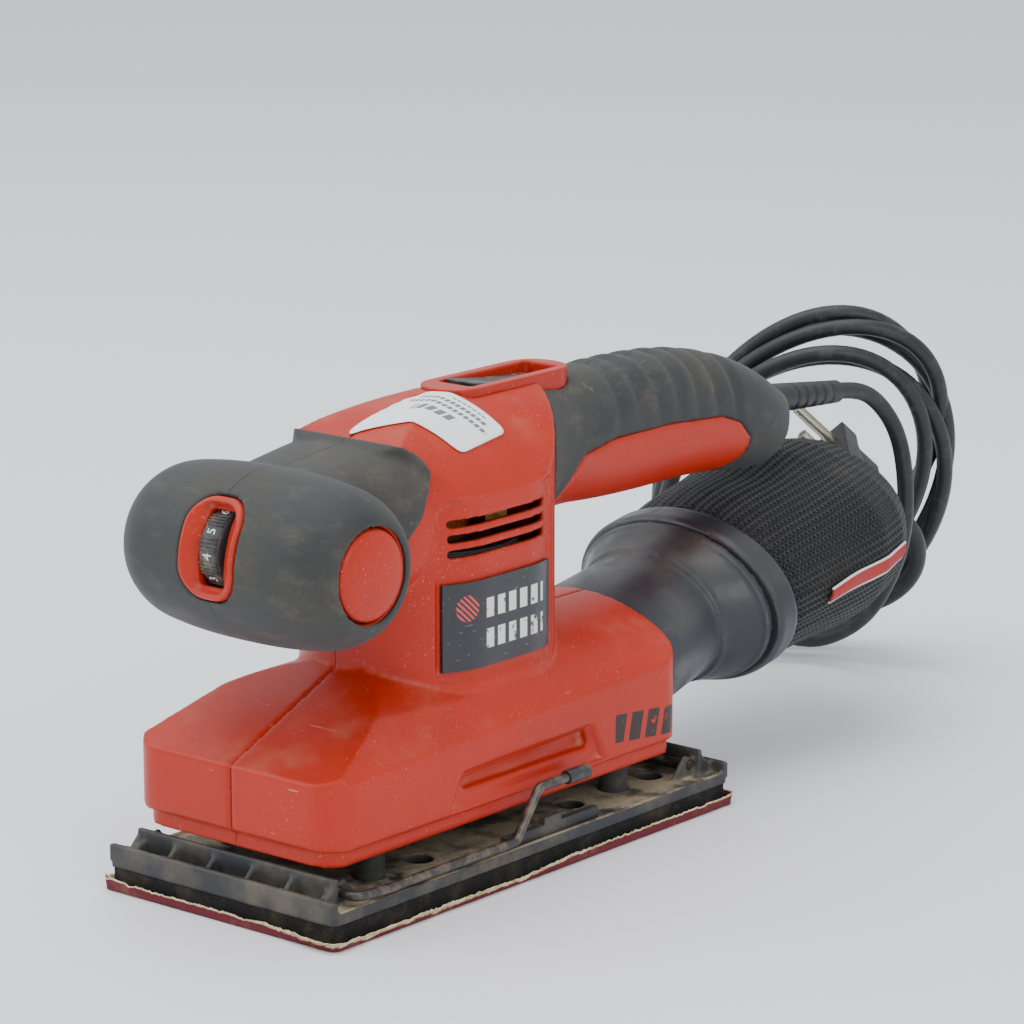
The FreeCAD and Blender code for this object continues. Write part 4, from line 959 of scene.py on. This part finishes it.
def make_sticker():
    """A round-cornered sheet of paper that lies over the crown of the tower."""
    shells = bmesh.new()
    for side in ("left", "right"):
        shells.from_mesh(bpy.data.objects["shell_" + side].data)
    skin = BVHTree.FromBMesh(shells)
    shells.free()
    around, rings = 120, 16
    outline = rounded_outline(STICKER_HALF_LENGTH, STICKER_HALF_WIDTH, 2.4, around)
    work = bmesh.new()
    uv = work.loops.layers.uv.new("sheet")
    a, b, c, d = STICKER_CORNERS

    def laid(x, y):
        u, v = (x / STICKER_HALF_LENGTH + 1) / 2, (y / STICKER_HALF_WIDTH + 1) / 2
        flat = (a * (1 - u) + b * u) * (1 - v) + (d * (1 - u) + c * u) * v
        hit = skin.ray_cast(Vector((flat.x, flat.y, 200)) * MM, Vector((0, 0, -1)))[0]
        return (u, v), work.verts.new(hit + Vector((0, 0, 0.3 * MM)))

    grid = [[laid(x * k / rings, y * k / rings) for x, y in outline] for k in range(1, rings + 1)]
    middle = laid(0, 0)
    faces = []
    for i in range(around):
        j = (i + 1) % around
        faces.append((middle, grid[0][i], grid[0][j]))
        for low, high in zip(grid, grid[1:]):
            faces.append((low[i], high[i], high[j], low[j]))
    for corners in faces:
        face = work.faces.new([vertex for place, vertex in corners])
        for loop, (place, vertex) in zip(face.loops, corners):
            loop[uv].uv = place
    bmesh.ops.smooth_vert(work, verts=work.verts, factor=0.5, use_axis_z=True)
    mesh = thickened("sticker", meshed(work, "sticker"), 0.2 * MM, 1.0)
    material = finish("white_sticker_paper", sticker_paper)
    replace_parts(put("price_sticker", mesh, material, "body"), "paper_sticker")


def make_labels():
    foil = finish("black_label_foil", label_foil)
    for side in ("left", "right"):
        paint("nameplate_" + side, foil)
    make_sticker()


# ---------------- platen, pad and paper ----------------

def make_platen():
    plastic = finish("dusty_platen_plastic", platen_plastic)
    mesh = softened(["platen_plate"], 0.65 * MM, 1, 0.5)
    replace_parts(put("sanding_plate", mesh, plastic, "platen"), "platen_plate")
    for side in ("left", "right"):
        paint("clamp_catch_" + side, plastic)
    paint("foam_pad", finish("dusty_pad_foam", foam_rubber))
    paint("flexible_posts", finish("dusty_grip_rubber", grip_rubber))


def paper_edge(count):
    """Points and outward directions round the sanding paper's edge."""
    low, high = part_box("sanding_paper")
    half_x, half_y = high.x, high.y
    corner = 2.5 * MM
    straight = [(1, 0), (0, 1), (-1, 0), (0, -1)]
    total = 4 * (half_x + half_y) - 8 * corner + 2 * math.pi * corner
    result = []
    for k in range(count):
        d = total * k / count
        for quarter, (nx, ny) in enumerate(straight):
            run = 2 * ((half_y if quarter % 2 == 0 else half_x) - corner)
            reach = half_x if quarter % 2 == 0 else half_y
            tx, ty = -ny, nx
            if d <= run:
                along = d - run / 2
                result.append((Vector((nx * reach + tx * along, ny * reach + ty * along, 0)),
                               Vector((nx, ny, 0))))
                break
            d -= run
            arc = math.pi / 2 * corner
            if d <= arc:
                a = d / corner
                cx = nx * (reach - corner) + tx * run / 2
                cy = ny * (reach - corner) + ty * run / 2
                ox = nx * math.cos(a) + tx * math.sin(a)
                oy = ny * math.cos(a) + ty * math.sin(a)
                result.append((Vector((cx + ox * corner, cy + oy * corner, 0)), Vector((ox, oy, 0))))
                break
            d -= arc
    return result


def tear(point):
    """How high the paper still stands round the pad here, and how far it curls out, in mm."""
    p = point / MM
    slow = noise.noise(Vector((p.x * 0.035, p.y * 0.035, 1.7)))
    mid = noise.noise(Vector((p.x * 0.13, p.y * 0.13, 5.1)))
    fine = noise.noise(Vector((p.x * 0.9, p.y * 0.9, 8.3)))
    if p.y < -93:
        # the front: a low torn line that ends in a wide curl at one corner
        curled = max(0.0, min(1.0, (p.x - 14) / 26))
        height = 3.5 + 0.6 * max(0.0, -p.x / 46) + 0.5 * curled + 0.6 * mid
        curl = 0.7 + 2.1 * curled ** 2 + 0.3 * slow
        band = 1.0 + 4.0 * curled + 0.3 * mid
    else:
        # the flanks: mostly backing towards the front, grit towards the rear
        grit_side = max(0.0, min(1.0, (p.y + 12) / 40))
        height = 3.2 + 0.5 * grit_side + 0.8 * slow + 0.9 * mid
        curl = 1.5 - 0.8 * grit_side + 0.8 * mid
        band = 3.6 - 2.5 * grit_side + 0.9 * slow
    height = max(1.1, min(6.0, height + 0.5 * fine))
    return height * sizes().tear_height / (5 * MM), max(0.2, curl), max(0.6, band + 0.6 * fine)


def make_paper():
    """The sheet of grit paper: its flat face and the ragged edge turned up around the pad."""
    grit = finish("worn_sanding_paper", sanding_sheet)
    paint("sanding_paper", grit)
    edge = paper_edge(1300)
    rows = 7
    work = bmesh.new()
    torn = work.verts.layers.float.new("torn")
    loops = []
    for row in range(rows + 1):
        f = row / rows
        loop = []
        for point, outward in edge:
            height, curl, band = tear(point)
            crumple = 0.25 * noise.noise(Vector((point.x * 420, point.y * 420, f * 2)))
            out = curl * f ** 2 + 0.10 + crumple * f
            z = 0.25 + height * f - 0.25 * curl * f ** 3
            vertex = work.verts.new(point + outward * out * MM + Vector((0, 0, max(0.2, z) * MM)))
            vertex[torn] = max(0.0, 1.0 - (height - height * f) / band)
            loop.append(vertex)
        loops.append(loop)
    count = len(edge)
    for low, high in zip(loops, loops[1:]):
        for i in range(count):
            j = (i + 1) % count
            work.faces.new((low[i], low[j], high[j], high[i]))
    bmesh.ops.recalc_face_normals(work, faces=work.faces)
    mesh = thickened("paper_edge", meshed(work, "paper_edge"), 0.4 * MM, 1.0)
    put("torn_paper_edge", mesh, grit, "platen")


def make_clamps():
    wire = finish("dark_spring_wire", dark_wire)
    sleeve = finish("dark_moulded_plastic", dark_plastic)
    for end in ("front", "rear"):
        paint(end + "_clamp_wire", wire)
        mesh = softened([end + "_clamp_grip"], 0.25 * MM, 2)
        piece = put(end + "_clamp_sleeve", mesh, sleeve, end + "_clamp")
        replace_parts(piece, end + "_clamp_grip")


# ---------------- dust collector ----------------

DUCT_START = Vector((0, 0.077, 0.0441))
DUCT_TILT = math.radians(11)
DUCT_ALONG = Vector((0, math.cos(DUCT_TILT), math.sin(DUCT_TILT)))
DUCT_UP = Vector((0, -math.sin(DUCT_TILT), math.cos(DUCT_TILT)))


def duct_point(t, x, height):
    return DUCT_START + (DUCT_ALONG * t + Vector((x, 0, 0)) + DUCT_UP * height) * MM


def make_adapter():
    plastic = finish("worn_adapter_plastic", adapter_plastic)
    mesh = softened(["dust_adapter"], 0.8 * MM, 2, 0.7)
    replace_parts(put("adapter_duct", mesh, plastic, "body"), "dust_adapter")
    mesh = softened(["bag_ring"], 0.6 * MM, 2, 0.6)
    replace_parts(put("adapter_collar", mesh, plastic, "body"), "bag_ring")


# distance from the collar, half width and half height of the filled bag, in mm
BAG_SHAPE = [(-2.0, 36.9, 25.7), (1.0, 37.6, 26.2), (6, 38.8, 27.4), (14, 39.6, 28.4),
             (30, 41.2, 29.6), (50, 42.2, 31.2), (62, 40.2, 30.2), (71, 35.6, 27.0),
             (77, 29.0, 22.0), (81, 19.5, 14.8), (82.6, 9.0, 7.0)]


def bag_size(s):
    """Half width and half height at a distance from the collar, on a smooth curve."""
    for (a, wa, ha), (b, wb, hb) in zip(BAG_SHAPE, BAG_SHAPE[1:]):
        if s <= b:
            f = max(0.0, (s - a) / (b - a))
            return wa + (wb - wa) * f, ha + (hb - ha) * f
    return BAG_SHAPE[-1][1:]


def bag_point(s, angle, proud=0.0):
    """A point of the bag's cloth: a sagging oval with gathers at the collar."""
    w, h = bag_size(s)
    full = min(1.0, s / 30.0) * min(1.0, max(0.0, (84 - s) / 20))
    gather = 0.55 * math.exp(-max(0.0, s) / 16.0) * math.cos(26 * angle) * min(1.0, (s + 2) / 4)
    fold = 1.5 * full * noise.noise(Vector((math.cos(angle) * 1.6, math.sin(angle) * 1.6, s / 26.0)))
    crease = -1.1 * full * math.exp(-(((angle % (2 * math.pi)) - 0.75 - 0.006 * s) / 0.13) ** 2)
    sag = -1.6 * full * max(0.0, math.sin(angle)) ** 2 * math.sin(math.pi * s / 84.0)
    c, n = math.cos(angle), math.sin(angle)
    grow = gather + fold + crease + proud
    x = (w + grow) * math.copysign(abs(c) ** 0.94, c)
    z = (h + grow) * math.copysign(abs(n) ** 0.94, n) + sag
    return duct_point(60.5 + s, x, z)


def make_bag():
    """The knitted bag: a drooping loft whose cloth map runs round and along it."""
    cloth = finish("ribbed_knit_cloth", knitted_cloth)
    around, along = 168, 74
    work = bmesh.new()
    uv = work.loops.layers.uv.new("cloth")
    rings = []
    for k in range(along + 1):
        s = -2.0 + 84.6 * k / along
        rings.append([work.verts.new(bag_point(s, 2 * math.pi * i / around)) for i in range(around)])
    tip = work.verts.new(duct_point(60.5 + 83.2, 0, 0))
    for k in range(along):
        for i in range(around):
            j = (i + 1) % around
            face = work.faces.new((rings[k][i], rings[k][j], rings[k + 1][j], rings[k + 1][i]))
            places = ((i, k), (i + 1, k), (i + 1, k + 1), (i, k + 1))
            for loop, (u, v) in zip(face.loops, places):
                loop[uv].uv = (u / around, v / along)
    for i in range(around):
        face = work.faces.new((rings[-1][i], rings[-1][(i + 1) % around], tip))
        for loop, (u, v) in zip(face.loops, ((i, along), (i + 1, along), (i + 0.5, along + 2))):
            loop[uv].uv = (u / around, v / along)
    work.faces.new(list(reversed(rings[0])))
    bmesh.ops.recalc_face_normals(work, faces=work.faces)
    mesh = meshed(work, "bag")
    piece = put("knitted_dust_bag", mesh, cloth, "body")
    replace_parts(piece, "dust_bag")
    hem = [bag_point(3.2, 2 * math.pi * i / 240, 0.25) for i in range(241)]
    thread = finish("bag_sewing_thread", cord_rubber)
    put("bag_hem_stitches", stitched(hem, 2.6 * MM, 1.9 * MM, 0.55 * MM, thread), thread,
        "body")


def make_tag():
    """A folded woven tag sewn along the bag's flank."""
    cloth = finish("red_woven_tag", woven_tag)
    length, rows = 60, 8
    work = bmesh.new()
    uv = work.loops.layers.uv.new("cloth")
    grid = []
    for i in range(length + 1):
        s = 18.5 + 42.0 * i / length
        line = []
        for j in range(rows + 1):
            f = j / rows
            angle = -0.20 + 0.19 * f + 0.02 * math.sin(i * 0.11)
            lift = 0.5 + 1.9 * math.sin(math.pi * min(1.0, f * 0.62)) * (0.6 + 0.4 * math.sin(i * 0.09 + 1))
            line.append(work.verts.new(bag_point(s, angle, lift)))
        grid.append(line)
    for i in range(length):
        for j in range(rows):
            face = work.faces.new((grid[i][j], grid[i + 1][j], grid[i + 1][j + 1], grid[i][j + 1]))
            for loop, (u, v) in zip(face.loops, ((i, j), (i + 1, j), (i + 1, j + 1), (i, j + 1))):
                loop[uv].uv = (u / length, v / rows)
    bmesh.ops.recalc_face_normals(work, faces=work.faces)
    mesh = thickened("tag", meshed(work, "tag"), 0.7 * MM, 0.0)
    piece = put("woven_tag", mesh, cloth, "body")
    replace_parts(piece, "bag_tag")


# ---------------- lead, hank and plug ----------------

HANK_CENTRE = Vector((-34.0, 254.0, 69.0))
HANK_ACROSS = Vector((0.769, 0.639, 0.0)).normalized()
HANK_OUT = HANK_ACROSS.cross(Vector((0.180, -0.217, 0.959))).normalized()
HANK_UP = HANK_OUT.cross(HANK_ACROSS)
LEAD_EXIT = Vector((0.0, 213.83, 109.87))
LEAD_ROUTE = [
    (0.5, 225.7, 109.2), (2.1, 237.8, 102.3), (4.8, 246.3, 89.1), (7.7, 246.8, 69.6),
    (6.0, 247.5, 51.7), (-1.0, 250.0, 36.5), (-11.0, 253.0, 22.5), (-24.0, 254.5, 12.0),
    (-40.0, 252.0, 6.0),
]
TAIL_ROUTE = [
    (-22.9, 271.4, 19.3), (-12.0, 273.3, 26.2), (-4.5, 271.8, 35.2), (-0.8, 267.8, 44.9),
    (-0.9, 261.9, 54.1), (-4.7, 254.7, 61.6),
]
# half width and half height of each loose turn, in mm, with one more to end on
TURN_WIDTHS = [46, 41, 50, 39, 45, 47]
TURN_HEIGHTS = [61, 54, 60, 65, 58, 62]
HANK_LEAN = math.radians(30)
HANK_TURNS = 4.9
POINTS_PER_TURN = 14
TURN_PITCH = 5.4


def hank_points():
    """Nearly five loose turns of a leaning oval that fan out above and to the right."""
    points = []
    long_way = HANK_ACROSS * math.sin(HANK_LEAN) + HANK_UP * math.cos(HANK_LEAN)
    short_way = HANK_ACROSS * math.cos(HANK_LEAN) - HANK_UP * math.sin(HANK_LEAN)
    last = int(POINTS_PER_TURN * HANK_TURNS)
    for i in range(last + 1):
        turns = i / POINTS_PER_TURN
        k = int(turns)
        f = turns - k
        ease = f * f * (3 - 2 * f)
        a = TURN_WIDTHS[k] + (TURN_WIDTHS[k + 1] - TURN_WIDTHS[k]) * ease
        b = TURN_HEIGHTS[k] + (TURN_HEIGHTS[k + 1] - TURN_HEIGHTS[k]) * ease
        angle = 2 * math.pi * turns + math.radians(14)
        depth = 9.0 - TURN_PITCH * turns
        if turns > 4.3:
            depth += (turns - 4.3) / 0.6 * 22.0
        place = HANK_CENTRE + HANK_OUT * depth
        place += short_way * (a - 50 - 1.03 * a * math.sin(angle))
        place += long_way * (b - 66 - 1.03 * b * math.cos(angle))
        place.z = max(place.z, 3.6)
        points.append(place)
    return points


def make_lead():
    """The mains lead, from the strain relief through its hank to the plug, as one curve."""
    rubber = finish("black_cord_rubber", cord_rubber)
    route = [LEAD_EXIT] + [Vector(p) for p in LEAD_ROUTE] + hank_points()
    route += [Vector(p) for p in TAIL_ROUTE]
    curve = bpy.data.curves.new("mains_cord", "CURVE")
    curve.dimensions = "3D"
    curve.bevel_depth = sizes().cord_diameter / 2
    curve.bevel_resolution = 6
    curve.resolution_u = 6
    curve.use_fill_caps = True
    spline = curve.splines.new("NURBS")
    spline.points.add(len(route) - 1)
    for point, place in zip(spline.points, route):
        point.co = (*(place * MM), 1.0)
    spline.order_u = 3
    spline.use_endpoint_u = True
    curve.materials.append(rubber)
    cord = linked("mains_cord", curve)
    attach(cord, "body")
    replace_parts(cord, "mains_lead", "lead_hank", "plug_lead")
    mesh = softened(["plug_body"], 0.6 * MM, 4)
    plug = put("moulded_plug", mesh, rubber, "body")
    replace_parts(plug, "plug_body")
    paint("plug_pins", finish("plated_pins", pin_plate))
    relief = put("lead_strain_relief", softened(["strain_relief"], 0.35 * MM, 2, 0.6), rubber,
                 "body")
    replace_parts(relief, "strain_relief")


# ---------------- inner works ----------------

def make_inner_works():
    """Finishes for the motor, drive and electrical pieces inside the shells."""
    steel = finish("turned_steel", bright_steel)
    sheets = finish("stacked_steel_sheets", stacked_sheets)
    copper = finish("enamelled_copper_wire", enamelled_copper)
    brass = finish("plain_brass", plain_brass)
    for node in ("dial_pin", "upper_bearing", "lower_bearing", "platen_bearing", "motor_shaft",
                 "eccentric_screw", "retaining_washer", "housing_screws"):
        paint(node, steel)
    for node in ("motor_stator", "armature_core", "counterweight"):
        paint(node, sheets)
    for node in ("field_coils", "armature_winding", "commutator"):
        paint(node, copper)
    for side in ("left", "right"):
        paint("brush_holder_" + side, brass)
        paint("carbon_brush_" + side, finish("pressed_carbon", pressed_carbon))
    paint("speed_control_board", finish("board_resin", board_resin))
    paint("cooling_fan", finish("dark_moulded_plastic", dark_plastic))
    paint("cord_clamp", finish("dark_moulded_plastic", dark_plastic))


# ---------------- stage ----------------

CAMERA_PLACE = Vector((0.8298, -0.9571, 0.4039))
CAMERA_LOOK = Vector((-0.6225, 0.7484, -0.2289))
CAMERA_UP = Vector((-0.1463, 0.1760, 0.9735))


def soft_light(name, place, target, size, power, colour=(1, 1, 1)):
    data = bpy.data.lights.new(name, "AREA")
    data.shape = "RECTANGLE"
    data.size, data.size_y = size
    data.energy = power
    data.color = colour
    light = bpy.data.objects.new(name, data)
    light.location = place
    light.rotation_euler = (Vector(target) - Vector(place)).to_track_quat("-Z", "Y").to_euler()
    bpy.context.scene.collection.objects.link(light)


def make_stage():
    """A pale floor, soft light from above and the side, and the camera."""
    mesh = bpy.data.meshes.new("studio_floor")
    reach = 9.0
    corners = [(-reach, -reach, 0), (reach, -reach, 0), (reach, reach, 0), (-reach, reach, 0)]
    mesh.from_pydata(corners, [], [(0, 1, 2, 3)])
    mesh.materials.append(finish("pale_studio_floor", studio_floor))
    floor = linked("studio_floor", mesh)

    world = bpy.data.worlds.new("studio")
    world.use_nodes = True
    world.node_tree.nodes["Background"].inputs["Color"].default_value = (0.80, 0.83, 0.88, 1)
    world.node_tree.nodes["Background"].inputs["Strength"].default_value = 1.15
    bpy.context.scene.world = world
    soft_light("overhead", (-0.2, -0.1, 1.5), (0, 0.05, 0), (1.8, 1.4), 20)
    soft_light("side", (-1.3, -0.9, 0.9), (0, 0, 0.08), (1.0, 0.9), 9, (0.95, 0.97, 1.0))
    soft_light("window", (1.4, -0.5, 0.8), (0, 0, 0.08), (0.8, 0.8), 7, (1.0, 0.98, 0.95))

    data = bpy.data.cameras.new("camera")
    data.sensor_width = 24
    data.sensor_height = 24
    data.lens = 100
    data.clip_start = 0.01
    data.clip_end = 50
    camera = bpy.data.objects.new("camera", data)
    back = -CAMERA_LOOK.normalized()
    right = CAMERA_UP.cross(back).normalized()
    up = back.cross(right)
    camera.matrix_world = Matrix.Translation(CAMERA_PLACE) @ Matrix(
        ((right.x, up.x, back.x), (right.y, up.y, back.y), (right.z, up.z, back.z))
    ).to_4x4()
    bpy.context.scene.collection.objects.link(camera)
    bpy.context.scene.camera = camera


# ---------------- operators and panel ----------------

class SANDER_OT_stage(bpy.types.Operator):
    """Set up the floor, the lights and the camera"""
    bl_idname = "sander.stage"
    bl_label = "Stage"

    def execute(self, context):
        make_stage()
        return {"FINISHED"}


class SANDER_OT_housing(bpy.types.Operator):
    """Build both red shells and the switch surround"""
    bl_idname = "sander.housing"
    bl_label = "Housing"

    def execute(self, context):
        make_housing()
        return {"FINISHED"}


class SANDER_OT_front_grip(bpy.types.Operator):
    """Build the rubber cross grip"""
    bl_idname = "sander.front_grip"
    bl_label = "Cross grip"

    def execute(self, context):
        make_front_grip()
        return {"FINISHED"}


class SANDER_OT_end_caps(bpy.types.Operator):
    """Build the domed caps in the cross grip's ends"""
    bl_idname = "sander.end_caps"
    bl_label = "End caps"

    def execute(self, context):
        make_end_caps()
        return {"FINISHED"}


class SANDER_OT_rear_handle(bpy.types.Operator):
    """Build the rubber of the rear handle with its finger grooves"""
    bl_idname = "sander.rear_handle"
    bl_label = "Rear handle"

    def execute(self, context):
        make_rear_handle()
        return {"FINISHED"}


class SANDER_OT_speed_dial(bpy.types.Operator):
    """Build the thumbwheel, its ribs, its numbers and its surround"""
    bl_idname = "sander.speed_dial"
    bl_label = "Speed dial"

    def execute(self, context):
        make_dial_frame()
        make_speed_dial()
        return {"FINISHED"}


class SANDER_OT_switch(bpy.types.Operator):
    """Build the rocker switch"""
    bl_idname = "sander.switch"
    bl_label = "Switch"

    def execute(self, context):
        make_switch()
        return {"FINISHED"}


class SANDER_OT_labels(bpy.types.Operator):
    """Finish the nameplates and the sticker"""
    bl_idname = "sander.labels"
    bl_label = "Labels"

    def execute(self, context):
        make_labels()
        return {"FINISHED"}


class SANDER_OT_platen(bpy.types.Operator):
    """Build the sanding plate and finish the pad and posts"""
    bl_idname = "sander.platen"
    bl_label = "Platen"

    def execute(self, context):
        make_platen()
        return {"FINISHED"}


class SANDER_OT_paper(bpy.types.Operator):
    """Build the sanding paper with its torn edge"""
    bl_idname = "sander.paper"
    bl_label = "Sanding paper"

    def execute(self, context):
        make_paper()
        return {"FINISHED"}


class SANDER_OT_clamps(bpy.types.Operator):
    """Finish the paper clamps and their sleeves"""
    bl_idname = "sander.clamps"
    bl_label = "Paper clamps"

    def execute(self, context):
        make_clamps()
        return {"FINISHED"}


class SANDER_OT_adapter(bpy.types.Operator):
    """Build the dust adapter and its collar"""
    bl_idname = "sander.adapter"
    bl_label = "Dust adapter"

    def execute(self, context):
        make_adapter()
        return {"FINISHED"}


class SANDER_OT_bag(bpy.types.Operator):
    """Build the knitted dust bag, its hem and its tag"""
    bl_idname = "sander.bag"
    bl_label = "Dust bag"

    def execute(self, context):
        make_bag()
        make_tag()
        return {"FINISHED"}


class SANDER_OT_lead(bpy.types.Operator):
    """Build the mains lead with its hank, strain relief and plug"""
    bl_idname = "sander.lead"
    bl_label = "Mains lead"

    def execute(self, context):
        make_lead()
        return {"FINISHED"}


class SANDER_OT_inner_works(bpy.types.Operator):
    """Finish the motor, drive and electrical pieces"""
    bl_idname = "sander.inner_works"
    bl_label = "Inner works"

    def execute(self, context):
        make_inner_works()
        return {"FINISHED"}


OPERATORS = (
    SANDER_OT_stage, SANDER_OT_lead, SANDER_OT_housing, SANDER_OT_front_grip,
    SANDER_OT_end_caps, SANDER_OT_rear_handle, SANDER_OT_speed_dial, SANDER_OT_switch,
    SANDER_OT_labels, SANDER_OT_platen, SANDER_OT_paper, SANDER_OT_clamps, SANDER_OT_adapter,
    SANDER_OT_bag, SANDER_OT_inner_works,
)


class SANDER_PT_panel(bpy.types.Panel):
    """Lists the sander's pieces, colours and sizes"""
    bl_idname = "SANDER_PT_panel"
    bl_label = "Orbital Sander"
    bl_space_type = "VIEW_3D"
    bl_region_type = "UI"
    bl_category = "Sander"

    def draw(self, context):
        for operator in OPERATORS:
            self.layout.operator(operator.bl_idname)
        for group in (context.scene.sander_colours, context.scene.sander_sizes):
            for name in group.__class__.__annotations__:
                self.layout.prop(group, name)


CLASSES = (SanderColours, SanderSizes) + OPERATORS + (SANDER_PT_panel,)


def register():
    for item in CLASSES:
        bpy.utils.register_class(item)
    bpy.types.Scene.sander_colours = PointerProperty(type=SanderColours)
    bpy.types.Scene.sander_sizes = PointerProperty(type=SanderSizes)


def unregister():
    del bpy.types.Scene.sander_sizes
    del bpy.types.Scene.sander_colours
    for item in reversed(CLASSES):
        bpy.utils.unregister_class(item)


def main():
    register()
    for operator in OPERATORS:
        group, name = operator.bl_idname.split(".")
        getattr(getattr(bpy.ops, group), name)()


if __name__ == "__main__":
    main()
